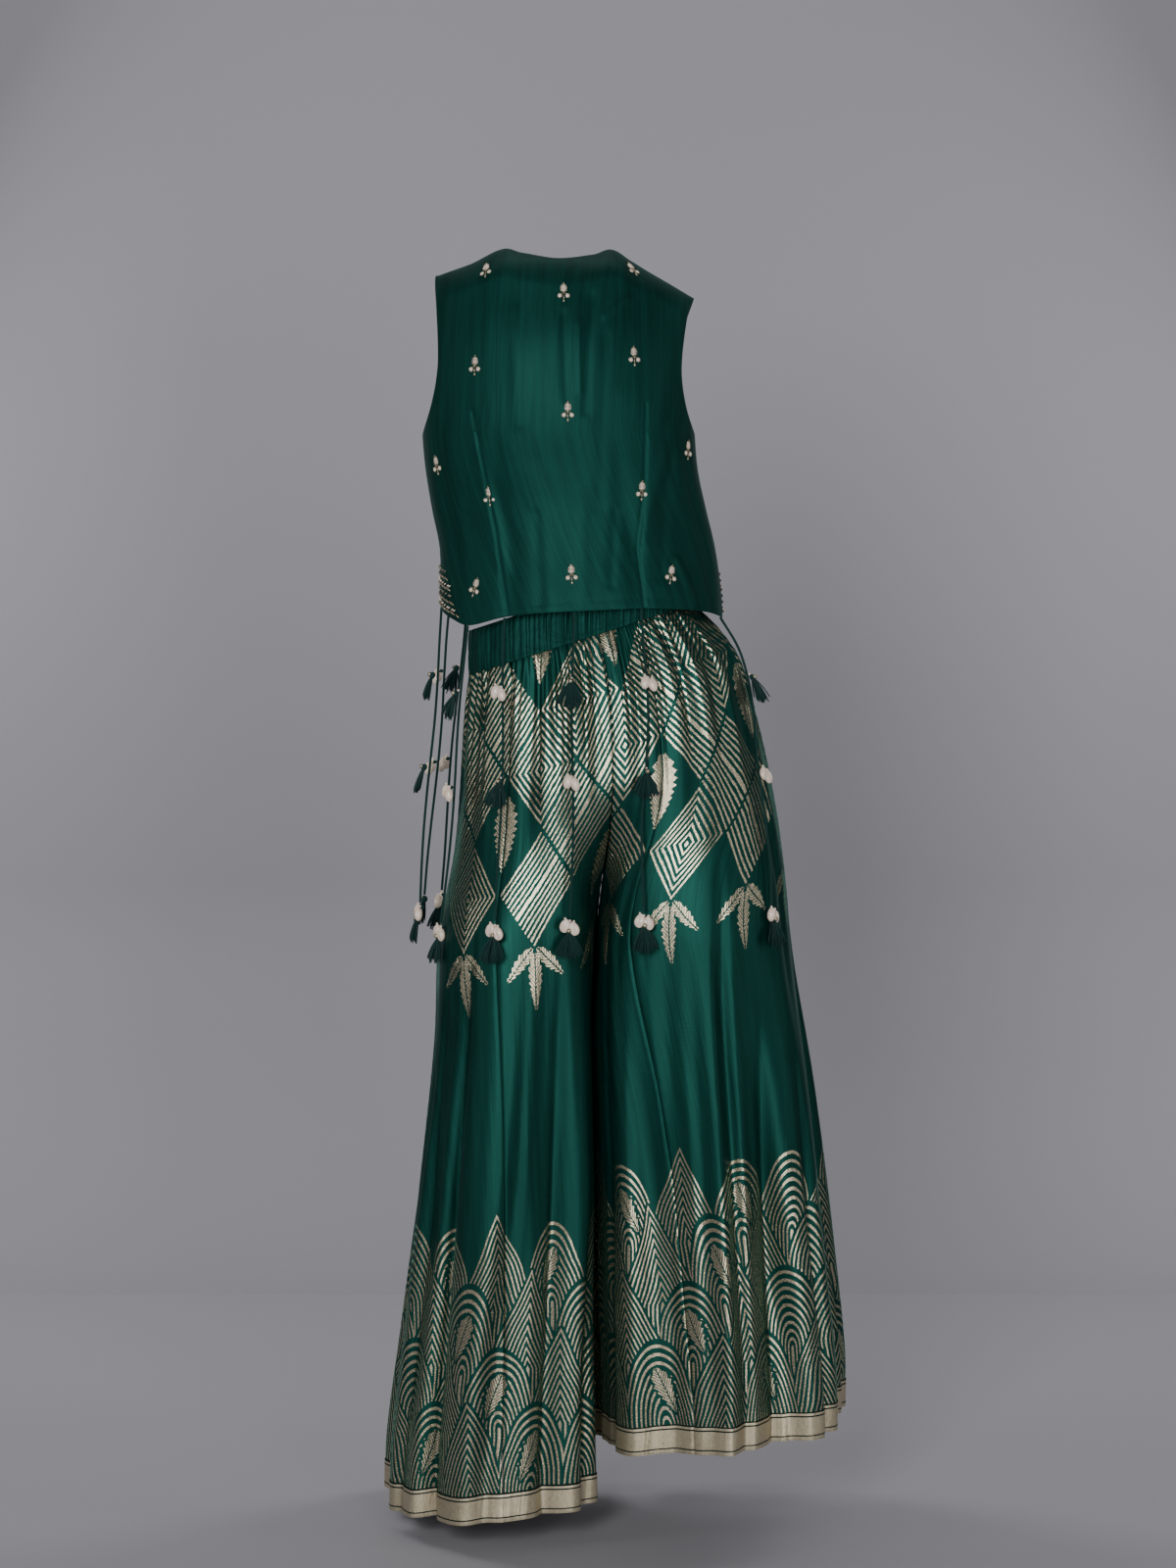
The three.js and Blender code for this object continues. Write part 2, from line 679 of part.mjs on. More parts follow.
// the ornament at one level of a cord, as one closed body standing clear of the cord
function ornament(name, route, level, distance, kind, outward) {
  const atEnd = level === 'end';
  const t = Math.min(1, distance / CORD_LENGTH);
  const down = atEnd ? new THREE.Vector3(0, 0, -1) : route.getTangentAt(t);
  const centre = route.getPointAt(t);
  if (atEnd) centre.addScaledVector(down, BEAD_RADIUS + SEAM_GAP);
  else centre.addScaledVector(outward, BEAD_RADIUS + CORD_RADIUS + SEAM_GAP);
  const pearl = new THREE.Vector3(5.6, 5.2, 8.6);
  const cowrie = new THREE.Vector3(6.6, 5, 8);
  const parts = [];
  if (kind === 'tassel') {
    parts.push(...tassel(centre, outward, down, 32));
  } else {
    const size = kind === 'pearls' ? pearl : cowrie;
    parts.push(bead(centre, BEAD_RADIUS, outward), ...pair(centre, outward, down, size, 5.5));
  }
  if (atEnd && kind !== 'tassel') {
    const below = centre.clone().addScaledVector(outward, 2.5).addScaledVector(down, 12);
    parts.push(...tassel(below, outward, down, 33));
  }
  const solid = Manifold.union(parts).simplify(0.03);
  const mesh = new THREE.Mesh(solidGeometry(solid), ornamentMaterial(kind));
  mesh.name = `${kind}_${name}_${level}`;
  return mesh;
}

function ornamentMaterial(kind) {
  if (kind === 'tassel') return material('green_thread', DARK_GREEN, 0.85, 0);
  if (kind === 'pearls') return material('ivory_beads', IVORY, 0.25, 0);
  return material('ivory_shell', IVORY, 0.35, 0);
}

function solidGeometry(solid) {
  const mesh = solid.getMesh();
  const geometry = new THREE.BufferGeometry();
  const count = mesh.numProp;
  const flat = [];
  for (let i = 0; i < mesh.vertProperties.length; i += count) {
    flat.push(mesh.vertProperties[i], mesh.vertProperties[i + 1], mesh.vertProperties[i + 2]);
  }
  geometry.setAttribute('position', new THREE.Float32BufferAttribute(flat, 3));
  geometry.setIndex(Array.from(mesh.triVerts));
  geometry.computeVertexNormals();
  return geometry;
}

function cordGroup() {
  const made = [];
  for (const [name, degrees, endX, endY, ...kinds] of CORDS) {
    const route = cordRoute(degrees, endX, endY);
    made.push(cordMesh(name, route));
    const middle = route.getPointAt(0.7);
    const outward = new THREE.Vector3(middle.x - 10, middle.y * 1.5, 0).normalize();
    LEVELS.forEach(([level, distance], i) => {
      made.push(ornament(name, route, level, distance, kinds[i], outward));
    });
  }
  return made;
}

// The whole suit.

function build() {
  const group = new THREE.Group();
  group.name = 'palazzo_suit';
  const brocade = () => material('green_brocade', GREEN, 0.45, 0);
  group.add(topPiece('top_back', 1, TOP_COLUMNS.back));
  group.add(topPiece('top_front', -1, TOP_COLUMNS.front));
  group.add(waistband());
  group.add(...legPanels('left', LEG.left, brocade));
  group.add(...legPanels('right', LEG.right, brocade));
  group.add(hemBorder('left_hem_border', LEG.left));
  group.add(hemBorder('right_hem_border', LEG.right));
  group.add(...cordGroup());
  return group;
}

export default build();
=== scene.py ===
"""A south asian palazzo suit: a silk top with tasselled cords and wide brocade trousers."""

import math

import bpy
import numpy as np
from mathutils import Matrix, Vector


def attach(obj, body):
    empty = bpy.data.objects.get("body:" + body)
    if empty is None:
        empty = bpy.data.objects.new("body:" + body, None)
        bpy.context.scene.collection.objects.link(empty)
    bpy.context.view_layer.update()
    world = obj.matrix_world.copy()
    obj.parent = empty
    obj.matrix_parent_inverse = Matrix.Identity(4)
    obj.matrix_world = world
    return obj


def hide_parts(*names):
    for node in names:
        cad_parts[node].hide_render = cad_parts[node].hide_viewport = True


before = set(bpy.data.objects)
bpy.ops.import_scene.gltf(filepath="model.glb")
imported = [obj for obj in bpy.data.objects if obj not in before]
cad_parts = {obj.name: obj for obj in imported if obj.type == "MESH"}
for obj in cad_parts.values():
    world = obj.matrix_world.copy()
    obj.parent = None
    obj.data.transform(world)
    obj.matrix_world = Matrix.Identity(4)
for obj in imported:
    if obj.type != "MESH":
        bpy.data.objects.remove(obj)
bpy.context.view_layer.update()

bl_info = {
    "name": "Palazzo suit",
    "version": (1, 0, 0),
    "blender": (4, 5, 0),
    "location": "3D View > Sidebar > Suit",
    "description": "Makes a silk top with tasselled cords and wide brocade trousers",
    "category": "Object",
}

MM = 0.001
TAU = 2 * math.pi

# Sizes shared with the solids, in millimetres.

# v, left side x, right side x, middle x, back depth, front depth
LEG_TABLE = [
    (0.0, -150, 120, 6, 99, 98),
    (0.03, -154, 150, 12, 108, 104),
    (0.07, -157, 176, 18, 118, 108),
    (0.14, -160, 196, 22, 126, 110),
    (0.22, -168, 214, 20, 130, 112),
    (0.32, -187, 230, 8, 134, 116),
    (0.45, -192, 242, -4, 138, 122),
    (0.6, -206, 262, -12, 146, 130),
    (0.8, -228, 284, -14, 156, 142),
    (0.93, -244, 297, -12, 161, 150),
    (1.0, -246, 297, -11, 163, 152),
]
WAIST_SLOPE = 0.32
WAIST_LEVEL = -50
FORK_START = 0.17
FORK_END = 0.39
LEG_GATHERS = 13
GATHER_DEPTH = 3.2
OVAL_POWER = 2.15  # 2 is an ellipse, more is squarer
LEG_BOTTOM = -1035
SEAM_GAP = 0.3
BAND_HEIGHT = 53
BORDER_HEIGHT = 33
BORDER_ROWS = 8
LEG_LENGTH = 985
BORDER_START = 1 - BORDER_HEIGHT / LEG_LENGTH
HALF_GAP = 0.00045
LEGS = {
    "left": {
        "sign": -1,
        "side_column": 1,
        "hem_side": -1083,
        "hem_middle": -1066,
        "seed": 11,
        "seam": [(0, 0.4), (0.3, 0.44), (0.6, 0.5), (1, 0.53)],
        # place at the hem, place at the waist, depth, width, start
        "folds": [
            (-0.86, -0.8, -9, 0.06, 0.4),
            (-0.68, -0.7, 12, 0.09, 0.2),
            (-0.52, -0.56, -14, 0.07, 0.16),
            (-0.36, -0.4, 11, 0.08, 0.24),
            (-0.2, -0.24, -13, 0.07, 0.2),
            (-0.05, -0.1, 7, 0.08, 0.3),
            (0.1, 0.12, -13, 0.06, 0.22),
            (0.24, 0.22, 9, 0.08, 0.16),
            (0.36, 0.33, -12, 0.055, 0.3),
            (0.5, 0.44, 10, 0.08, 0.2),
            (0.62, 0.58, -13, 0.06, 0.14),
            (0.73, 0.7, 8, 0.07, 0.24),
            (0.84, 0.84, -9, 0.05, 0.3),
        ],
    },
    "right": {
        "sign": 1,
        "side_column": 2,
        "hem_side": -985,
        "hem_middle": -1004,
        "seed": 23,
        "seam": [(0, 0.72), (0.3, 0.7), (0.6, 0.62), (1, 0.58)],
        "folds": [
            (-0.84, -0.82, -9, 0.06, 0.4),
            (-0.7, -0.66, 11, 0.08, 0.24),
            (-0.54, -0.52, -13, 0.07, 0.18),
            (-0.38, -0.4, 12, 0.09, 0.2),
            (-0.22, -0.26, -12, 0.06, 0.26),
            (-0.07, -0.06, 8, 0.08, 0.3),
            (0.09, 0.1, -10, 0.05, 0.3),
            (0.22, 0.2, 9, 0.07, 0.2),
            (0.37, 0.34, -18, 0.06, 0.32),
            (0.5, 0.46, 11, 0.07, 0.16),
            (0.6, 0.6, -10, 0.05, 0.22),
            (0.72, 0.72, 9, 0.07, 0.26),
            (0.85, 0.84, -8, 0.05, 0.3),
        ],
    },
}

# height, middle x, half width, back depth, front depth
TOP_TABLE = [
    (-40, -14, 170, 119, 117),
    (0, -15, 169, 114, 113),
    (53, -19, 166, 106, 108),
    (100, -29, 165, 104, 113),
    (148, -38, 164, 109, 119),
    (195, -42, 164, 115, 122),
    (242, -43, 163, 116, 117),
    (300, -41, 162, 110, 103),
    (360, -37, 161, 92, 82),
    (400, -35, 160, 80, 66),
]
# height, left side seam, right side seam, in degrees from the middle of the back
SIDE_SEAMS = [
    (-40, -52, 88),
    (0, -62, 89),
    (53, -75, 90),
    (100, -80, 90),
    (148, -85, 90),
    (195, -90, 90),
]
ARMPIT = 190
# x, height of the shoulder line and back neck edge
BACK_EDGE = [
    (-186, 382),
    (-148, 395),
    (-108, 413),
    (-85, 406),
    (-43, 398),
    (0, 404),
    (22, 412),
    (45, 399),
    (75, 381),
    (124, 353),
]
NECK_MIDDLE = -43
NECK_HALF = 65
SHOULDER_TURN = 0.6
# degrees from the middle of the back, height of the hem
HEM_TABLE = [
    (-180, -8),
    (-130, -10),
    (-90, -16),
    (-66, -30),
    (-52, -38),
    (-30, -27),
    (0, -21),
    (30, -18),
    (60, -22),
    (90, -29),
    (130, -14),
    (180, -8),
]
# degrees, depth, width, lowest height, highest height
TOP_WRINKLES = [
    (-30, -2.2, 5, -60, 150),
    (24, -2.4, 5, -60, 170),
    (-12, 2.0, 7, -60, 120),
    (48, 1.8, 7, -60, 90),
    (66, -2.0, 6, 0, 200),
    (-62, -1.8, 6, 20, 200),
    (150, -2.2, 7, -60, 120),
    (-150, -2.4, 7, -60, 120),
    (158, 1.8, 9, -60, 90),
    (120, 1.8, 8, 0, 170),
    (-118, 1.8, 8, 0, 170),
]
TOP_START = -30
TOP_END = 400
FRONT_NECK_DROP = 92
BACK_NECK_SET = 44
SHOULDER_SHARE = 0.82  # how much of the rise to the shoulder is below its turn
SEAM_DEGREES = 0.055
TORSO_MIDDLE = -20
# the solids' columns on the back, 1, and the front, -1, and their cloth's thickness
SOLID_COLUMNS = {1: 24, -1: 20}
SOLID_CLOTH = 1.8

CORD_LENGTH = 355
CORD_STEPS = 8
CORD_POINTS = 49
ROUTE_STEPS = 24
CORD_SWING = 2.2
REST_CENTRE = 10
REST_SPACE = 2.8
BEAD_RADIUS = 4.8
CORD_REACH = 1.5
TASSEL_LENGTH = 32
END_TASSEL_LENGTH = 33
# half sizes across, outward and along
PEARL_SIZE = (5.4, 5.0, 8.4)
COWRIE_SIZE = (6.4, 4.8, 8.2)
# name, degrees on the hem, end x, end y, what hangs at the three levels
CORDS = [
    ("back_a", -53, -181, -56, "tassel", "pearls", "cowries"),
    ("back_b", -33, -113, -140, "pearls", "tassel", "cowries"),
    ("back_c", -3, -28, -140, "tassel", "pearls", "cowries"),
    ("back_d", 25, 58, -140, "pearls", "tassel", "cowries"),
    ("back_e", 80, 184, -90, "tassel", "cowries", "pearls"),
    ("front_a", -88, -208, -12, "tassel", "tassel", "pearls"),
    ("front_b", -108, -203, 34, "pearls", "pearls", "tassel"),
    ("front_c", -124, -188, 78, "tassel", "pearls", "cowries"),
    ("front_d", 172, -10, 120, "pearls", "tassel", "cowries"),
    ("front_e", 124, 150, 110, "tassel", "pearls", "cowries"),
]
LEVELS = [("upper", 79), ("middle", 195), ("end", 355)]


# Small helpers.


def smooth(low, high, value):
    """A soft step from 0 at low to 1 at high."""
    t = np.clip((value - low) / (high - low), 0, 1)
    return t * t * (3 - 2 * t)


def lerp(a, b, t):
    """The value at t on the way from a to b."""
    return a + (b - a) * t


def table_value(table, key, column):
    """Reads a column of a table at a key, eased between the rows."""
    rows = np.array(table, float)
    keys, values = rows[:, 0], rows[:, column]
    last = len(keys) - 1
    after = np.minimum(np.arange(last + 1) + 1, last)
    before = np.maximum(np.arange(last + 1) - 1, 0)
    slopes = (values[after] - values[before]) / (keys[after] - keys[before])
    key = np.clip(key, keys[0], keys[-1])
    at = np.clip(np.searchsorted(keys, key, side="right") - 1, 0, last - 1)
    span = keys[at + 1] - keys[at]
    t = (key - keys[at]) / span
    t2, t3 = t * t, t * t * t
    return (
        (2 * t3 - 3 * t2 + 1) * values[at]
        + (t3 - 2 * t2 + t) * span * slopes[at]
        + (3 * t2 - 2 * t3) * values[at + 1]
        + (t3 - t2) * span * slopes[at + 1]
    )


def grid_normals(points):
    """Normals of a grid of points, rows first."""
    along = np.gradient(points, axis=1)
    down = np.gradient(points, axis=0)
    normal = np.cross(along, down)
    return normal / np.maximum(np.linalg.norm(normal, axis=2, keepdims=True), 1e-9)


def grid_lengths(points, axis):
    """Lengths along a grid's rows or columns, from its first point."""
    steps = np.linalg.norm(np.diff(points, axis=axis), axis=2)
    total = np.cumsum(steps, axis=axis)
    pad = [(0, 0), (0, 0)]
    pad[axis] = (1, 0)
    return np.pad(total, pad)


# The trousers' form.


def oval_radius(angle, a, b, power):
    """The radius of an oval with half sizes a and b."""
    c = np.abs(np.cos(angle)) / a
    s = np.abs(np.sin(angle)) / b
    return (c**power + s**power) ** (-1 / power)


def main_folds(leg, place, v):
    """The large folds and gathers, as in the solids."""
    push = 0
    for at_hem, at_waist, depth, width, start in leg["folds"]:
        d = (place - lerp(at_waist, at_hem, v)) / width
        push = push + depth * smooth(start, start + 0.5, v) * lerp(0.7, 1.15, v) * np.exp(-d * d)
    gather = GATHER_DEPTH * smooth(0.3, 0.04, v) * smooth(0, 0.03, v)
    return push + gather * np.cos(place * LEG_GATHERS * math.pi) - gather * 0.4


FINE_GATHERS = 64
SMALL_CREASES = 26
HEM_FOLDS = 24
FOLD_LIFT = 4.0
MOST_OUTWARD = (1.0, 4.5)  # above and below the hips


def small_folds(leg, place, v):
    """Fine gathers under the band and narrow creases lower down, all placed by seed."""
    rng = np.random.default_rng(leg["seed"])
    push = 0
    for i in range(FINE_GATHERS):
        spot = -1 + (i + rng.uniform(0.1, 0.9)) * 2 / FINE_GATHERS
        depth, reach = rng.uniform(1.2, 3.2), rng.uniform(0.05, 0.26)
        width, drift = rng.uniform(0.007, 0.012), rng.uniform(-0.12, 0.12)
        d = (place - spot - drift * v) / (width * (1 + 3 * v))
        push = push - depth * smooth(reach, reach * 0.15, v) * np.exp(-d * d)
    for _ in range(SMALL_CREASES):
        spot, drift = rng.uniform(-0.95, 0.95), rng.uniform(-0.1, 0.1)
        depth, width = rng.uniform(-5.5, 3.5), rng.uniform(0.014, 0.034)
        start, length = rng.uniform(0.12, 0.7), rng.uniform(0.25, 0.6)
        d = (place - spot - drift * v) / width
        along = smooth(start, start + 0.15, v) * smooth(start + length + 0.2, start + length, v)
        push = push + depth * along * np.exp(-d * d)
    for i in range(HEM_FOLDS):
        spot = -1 + (i + rng.uniform(0.1, 0.9)) * 2 / HEM_FOLDS
        depth, width = rng.uniform(8, 18), rng.uniform(0.018, 0.032)
        start, drift = rng.uniform(0.22, 0.5), rng.uniform(-0.07, 0.07)
        d = (place - spot - drift * (1 - v)) / (width * (0.75 + 0.35 * v))
        push = push - depth * smooth(start, start + 0.4, v) * np.exp(-d * d)
    push = push + FOLD_LIFT * smooth(0.34, 0.62, v)
    most = lerp(*MOST_OUTWARD, smooth(0.34, 0.55, v))
    return np.where(push > 0, most * np.tanh(push / most), push)


def leg_point(leg, place, v, creased=False):
    """One leg's surface: place runs from -1 (front, inside) over 0 (outside) to 1 (back, inside)."""
    place, v = np.broadcast_arrays(np.asarray(place, float), np.asarray(v, float))
    side = table_value(LEG_TABLE, v, leg["side_column"])
    middle = table_value(LEG_TABLE, v, 3)
    back = place >= 0
    t = np.minimum(1, np.abs(place))
    depth = np.where(back, table_value(LEG_TABLE, v, 4), table_value(LEG_TABLE, v, 5))
    fork = smooth(FORK_START, FORK_END, v)
    apart = lerp(SEAM_GAP / 2, 2, smooth(FORK_END, 0.75, v))
    half_angle = t * math.pi / 2
    reach = np.abs(side - middle) - SEAM_GAP / 2
    hip = oval_radius(half_angle, reach, depth, OVAL_POWER)
    hip_x = middle + leg["sign"] * (SEAM_GAP / 2 + hip * np.cos(half_angle))
    hip_y = hip * np.sin(half_angle)
    angle = t * math.pi
    inner = middle + leg["sign"] * apart
    half = np.abs(side - inner) / 2
    power = OVAL_POWER + 1.1 * smooth(0.4, 0.8, t)
    radius = oval_radius(angle, half, depth, power)
    x = lerp(hip_x, (side + inner) / 2 + leg["sign"] * radius * np.cos(angle), fork)
    y = lerp(hip_y, radius * np.sin(angle), fork)
    plan = lerp(half_angle, angle, fork)
    normal_x = leg["sign"] * np.cos(plan) * depth
    normal_y = np.sin(plan) * lerp(reach, half, fork)
    size = np.maximum(np.hypot(normal_x, normal_y), 1e-6)
    push = main_folds(leg, place, v)
    if creased:
        extra = small_folds(leg, place, v)
        push = push + np.where(extra > 0, extra * smooth(0.86, 0.66, t), extra)
    push = push * (1 - smooth(0.88, 0.99, t))
    x = x + push * normal_x / size
    y = y + push * normal_y / size
    side_top = WAIST_LEVEL + WAIST_SLOPE * LEG_TABLE[0][leg["side_column"]]
    middle_top = WAIST_LEVEL + WAIST_SLOPE * LEG_TABLE[0][3]
    shared = lerp(middle_top, LEG_BOTTOM, v)
    middle_z = shared + (leg["hem_middle"] - LEG_BOTTOM) * smooth(FORK_END, 1, v)
    inward = np.clip(np.abs(x - side) / np.abs(middle - side), 0, 1)
    z = lerp(lerp(side_top, leg["hem_side"], v), middle_z, inward) - SEAM_GAP
    slant = 0.2 * smooth(0.3, 0.7, v) * inward * inward
    return np.stack([x + slant * np.where(back, y, -y), np.where(back, -y, y), z], axis=-1)


def seam_place(leg, v):
    """Where the seam down the back of a leg is."""
    return table_value(leg["seam"], v, 1)


def leg_rows(count):
    """Heights of a panel's rows, close together on the border."""
    upper = np.linspace(0, BORDER_START, count)
    return np.concatenate([upper, np.linspace(BORDER_START, 1, BORDER_ROWS)[1:]])


def leg_lines(leg, part, v, columns):
    """Places across a panel at each row, from its first seam to its second."""
    seam = seam_place(leg, v)[:, None]
    across = np.linspace(0, 1, columns)[None, :]
    if part == "back_outer":
        return lerp(HALF_GAP, seam - HALF_GAP, across)
    if part == "back_inner":
        return lerp(seam + HALF_GAP, 1 - HALF_GAP, across)
    return lerp(-1 + HALF_GAP, -HALF_GAP, across) + 0 * seam


# The top's form.


def torso_at(height, degrees):
    """x and y of the worn top at a height; degrees run from the middle of the back."""
    middle = table_value(TOP_TABLE, height, 1)
    half = table_value(TOP_TABLE, height, 2)
    back = np.abs(degrees) <= 90
    depth = np.where(back, table_value(TOP_TABLE, height, 3), table_value(TOP_TABLE, height, 4))
    angle = np.radians(degrees)
    round_part = np.abs(np.cos(angle)) ** 0.88
    return middle + half * np.sin(angle), np.where(back, -depth * round_part, depth * round_part)


def top_wrinkle(degrees, height):
    """The large soft folds of the top, as in the solids."""
    push = 0
    for at, depth, width, low, high in TOP_WRINKLES:
        d = (degrees - at) / width
        along = smooth(low - 40, low + 30, height) * smooth(high + 40, high - 40, height)
        push = push + depth * along * np.exp(-d * d)
    return push


def top_point(side, u, v):
    """The top's surface: side 1 is the back piece and -1 the front, u across and v upwards."""
    u, v = np.broadcast_arrays(np.asarray(u, float), np.asarray(v, float))
    below = np.clip(v / 0.5, 0, 1)
    above = np.clip((v - 0.5) / 0.5, 0, 1)
    level = np.where(v <= 0.5, lerp(TOP_START, ARMPIT, below), lerp(ARMPIT, TOP_END, above))
    left_seam = table_value(SIDE_SEAMS, level, 1)
    right_seam = table_value(SIDE_SEAMS, level, 2)
    hole = np.sqrt(1 - (1 - np.clip(above / 0.34, 0, 1)) ** 2)
    left_in = hole * lerp(29, 16, smooth(0.3, 1, above))
    right_in = hole * lerp(25, 12, smooth(0.3, 1, above))
    gap = SEAM_DEGREES
    if side > 0:
        degrees = lerp(left_seam + left_in + gap, right_seam - right_in - gap, u)
    else:
        degrees = lerp(right_seam + right_in * 1.2 + gap, left_seam + 360 - left_in * 1.2 - gap, u)
    wrapped = np.where(degrees > 180, degrees - 360, degrees)
    hem = table_value(HEM_TABLE, wrapped, 1)
    body_height = np.where(v <= 0.5, lerp(hem, ARMPIT, below), level)
    x, y = torso_at(body_height, wrapped)
    from_neck = (x - NECK_MIDDLE) / NECK_HALF
    in_neck = np.clip(1 - from_neck * from_neck, 0, 1)
    edge = table_value(BACK_EDGE, x, 1)
    if side < 0:
        edge = edge - FRONT_NECK_DROP * in_neck**0.8
    low = lerp(ARMPIT, edge, SHOULDER_SHARE * np.minimum(above, SHOULDER_TURN) / SHOULDER_TURN)
    turn = np.clip((above - SHOULDER_TURN) / (1 - SHOULDER_TURN), 0, 1)
    arc = turn * math.pi / 2
    upper_z = low + (edge - lerp(ARMPIT, edge, SHOULDER_SHARE)) * np.sin(arc)
    body_y = torso_at(upper_z, wrapped)[1]
    outer = np.clip((np.abs(x - NECK_MIDDLE) - NECK_HALF) / 90, 0, 1)
    seam_y = lerp(-16, -6, outer)
    if side > 0:
        goal = seam_y - BACK_NECK_SET * in_neck - SEAM_GAP / 2
    else:
        goal = seam_y + SEAM_GAP / 2 + (body_y - seam_y) * in_neck**0.8
    upper_y = lerp(body_y, goal, 1 - np.cos(arc))
    z = np.where(above > 0, upper_z, body_height)
    y = np.where(above > 0, upper_y, y)
    across = x - TORSO_MIDDLE
    away = np.maximum(np.hypot(across, y), 1e-6)
    push = top_wrinkle(wrapped, z)
    return np.stack([x + push * across / away, y + push * y / away, z], axis=-1)


# Cord routes.


def smooth_curve(points, count):
    """Evenly spaced points on a centripetal curve through the given ones."""
    p = np.vstack([2 * points[0] - points[1], points, 2 * points[-1] - points[-2]])
    fine = []
    for i in range(1, len(p) - 2):
        p0, p1, p2, p3 = p[i - 1 : i + 3]
        d0, d1, d2 = [max(np.linalg.norm(b - a), 1e-6) ** 0.5 for a, b in ((p0, p1), (p1, p2), (p2, p3))]
        m1 = ((p1 - p0) / d0 - (p2 - p0) / (d0 + d1) + (p2 - p1) / d1) * d1
        m2 = ((p2 - p1) / d1 - (p3 - p1) / (d1 + d2) + (p3 - p2) / d2) * d1
        t = np.linspace(0, 1, 24, endpoint=False)[:, None]
        t2, t3 = t * t, t * t * t
        fine.append(
            (2 * t3 - 3 * t2 + 1) * p1 + (t3 - 2 * t2 + t) * m1 + (3 * t2 - 2 * t3) * p2 + (t3 - t2) * m2
        )
    fine = np.vstack(fine + [points[-1:]])
    length = np.concatenate([[0], np.cumsum(np.linalg.norm(np.diff(fine, axis=0), axis=1))])
    reach = min(length[-1], CORD_LENGTH)
    at = np.linspace(0, reach, count)
    return np.stack([np.interp(at, length, fine[:, k]) for k in range(3)], axis=1)


def hem_middle(degrees):
    """The middle of the cloth's edge at the top's hem, on the solid's straight step there."""
    start = float(table_value(SIDE_SEAMS, TOP_START, 1))
    end = float(table_value(SIDE_SEAMS, TOP_START, 2))
    is_back = start <= degrees <= end
    turned = degrees + 360 if degrees < end else degrees
    u = (degrees - start) / (end - start) if is_back else (turned - end) / (start + 360 - end)
    side = 1 if is_back else -1
    columns = SOLID_COLUMNS[side]
    column = min(columns - 1, int(u * columns))
    ends = []
    for at in (column / columns, (column + 1) / columns):
        here = top_point(side, at, 0.0)
        along = top_point(side, min(1, at + 0.002), 0.0) - top_point(side, max(0, at - 0.002), 0.0)
        up = top_point(side, at, 0.002) - here
        normal = np.cross(along, up)
        ends.append(here - normal / np.linalg.norm(normal) * SOLID_CLOTH / 2)
    return lerp(ends[0], ends[1], u * columns - column)


def leg_samples():
    """Points on both legs that a cord could rest on."""
    v, place = np.meshgrid(np.linspace(0, 0.5, 61), np.linspace(-1, 1, 121), indexing="ij")
    return np.vstack([leg_point(leg, place, v).reshape(-1, 3) for leg in LEGS.values()])


def rest_on_legs(point, samples):
    """A cord's point, moved outward until it clears the legs."""
    heading = math.atan2(point[1], point[0] - REST_CENTRE)
    other = np.arctan2(samples[:, 1], samples[:, 0] - REST_CENTRE)
    turn = np.abs(np.arctan2(np.sin(other - heading), np.cos(other - heading)))
    near = (np.abs(samples[:, 2] - point[2]) <= 16) & (turn <= 0.06)
    radius = math.hypot(point[0] - REST_CENTRE, point[1])
    if near.any():
        reach = np.hypot(samples[near, 0] - REST_CENTRE, samples[near, 1]).max()
        radius = max(radius, reach + REST_SPACE)
    return np.array([REST_CENTRE + radius * math.cos(heading), radius * math.sin(heading), point[2]])


def cord_route(degrees, end_x, end_y, samples, count):
    """A cord's middle line in millimetres, as in the solids."""
    start = hem_middle(degrees)
    start[2] -= 2.4 * SEAM_GAP
    points = [start]
    for i in range(1, ROUTE_STEPS + 1):
        t = i / ROUTE_STEPS
        swing = CORD_SWING * math.sin(t * TAU + degrees) * min(1, t * 3)
        x = lerp(start[0], end_x, t) + swing
        raw = np.array([x, lerp(start[1], end_y, t), start[2] - CORD_LENGTH * t])
        points.append(rest_on_legs(raw, samples))
    eased = [points[0]]
    for i in range(1, ROUTE_STEPS):
        middle = lerp((points[i - 1] + points[i + 1]) / 2, points[i], 0.5)
        eased.append(middle if i < 2 else rest_on_legs(middle, samples))
    eased.append(points[-1])
    kept = smooth_curve(np.array(eased), CORD_STEPS + 1)
    return smooth_curve(kept, count)


# Meshes.


def new_object(name, mesh, body="root"):
    """A new object in the scene, which rides on a body unless it is None."""
    item = bpy.data.objects.new(name, mesh)
    bpy.context.scene.collection.objects.link(item)
    if body:
        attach(item, body)
    return item


def grid_mesh(name, points, uvs=None, closed=False):
    """A mesh from a grid of points in millimetres, rows first, with UVs in metres."""
    rows, columns = points.shape[:2]
    j, i = np.meshgrid(np.arange(rows - 1), np.arange(columns if closed else columns - 1), indexing="ij")
    i2 = (i + 1) % columns
    here, below = j * columns, (j + 1) * columns
    faces = np.stack([here + i, below + i, below + i2, here + i2], axis=-1).reshape(-1, 4)
    mesh = bpy.data.meshes.new(name)
    mesh.vertices.add(rows * columns)
    mesh.vertices.foreach_set("co", (points.reshape(-1, 3) * MM).ravel())
    mesh.loops.add(faces.size)
    mesh.loops.foreach_set("vertex_index", faces.ravel())
    mesh.polygons.add(len(faces))
    mesh.polygons.foreach_set("loop_start", np.arange(0, faces.size, 4))
    mesh.update(calc_edges=True)
    for layer, values in (uvs or {}).items():
        uv = mesh.uv_layers.new(name=layer)
        uv.data.foreach_set("uv", (values.reshape(-1, 2)[faces.ravel()] * MM).ravel())
    mesh.shade_smooth()
    return mesh


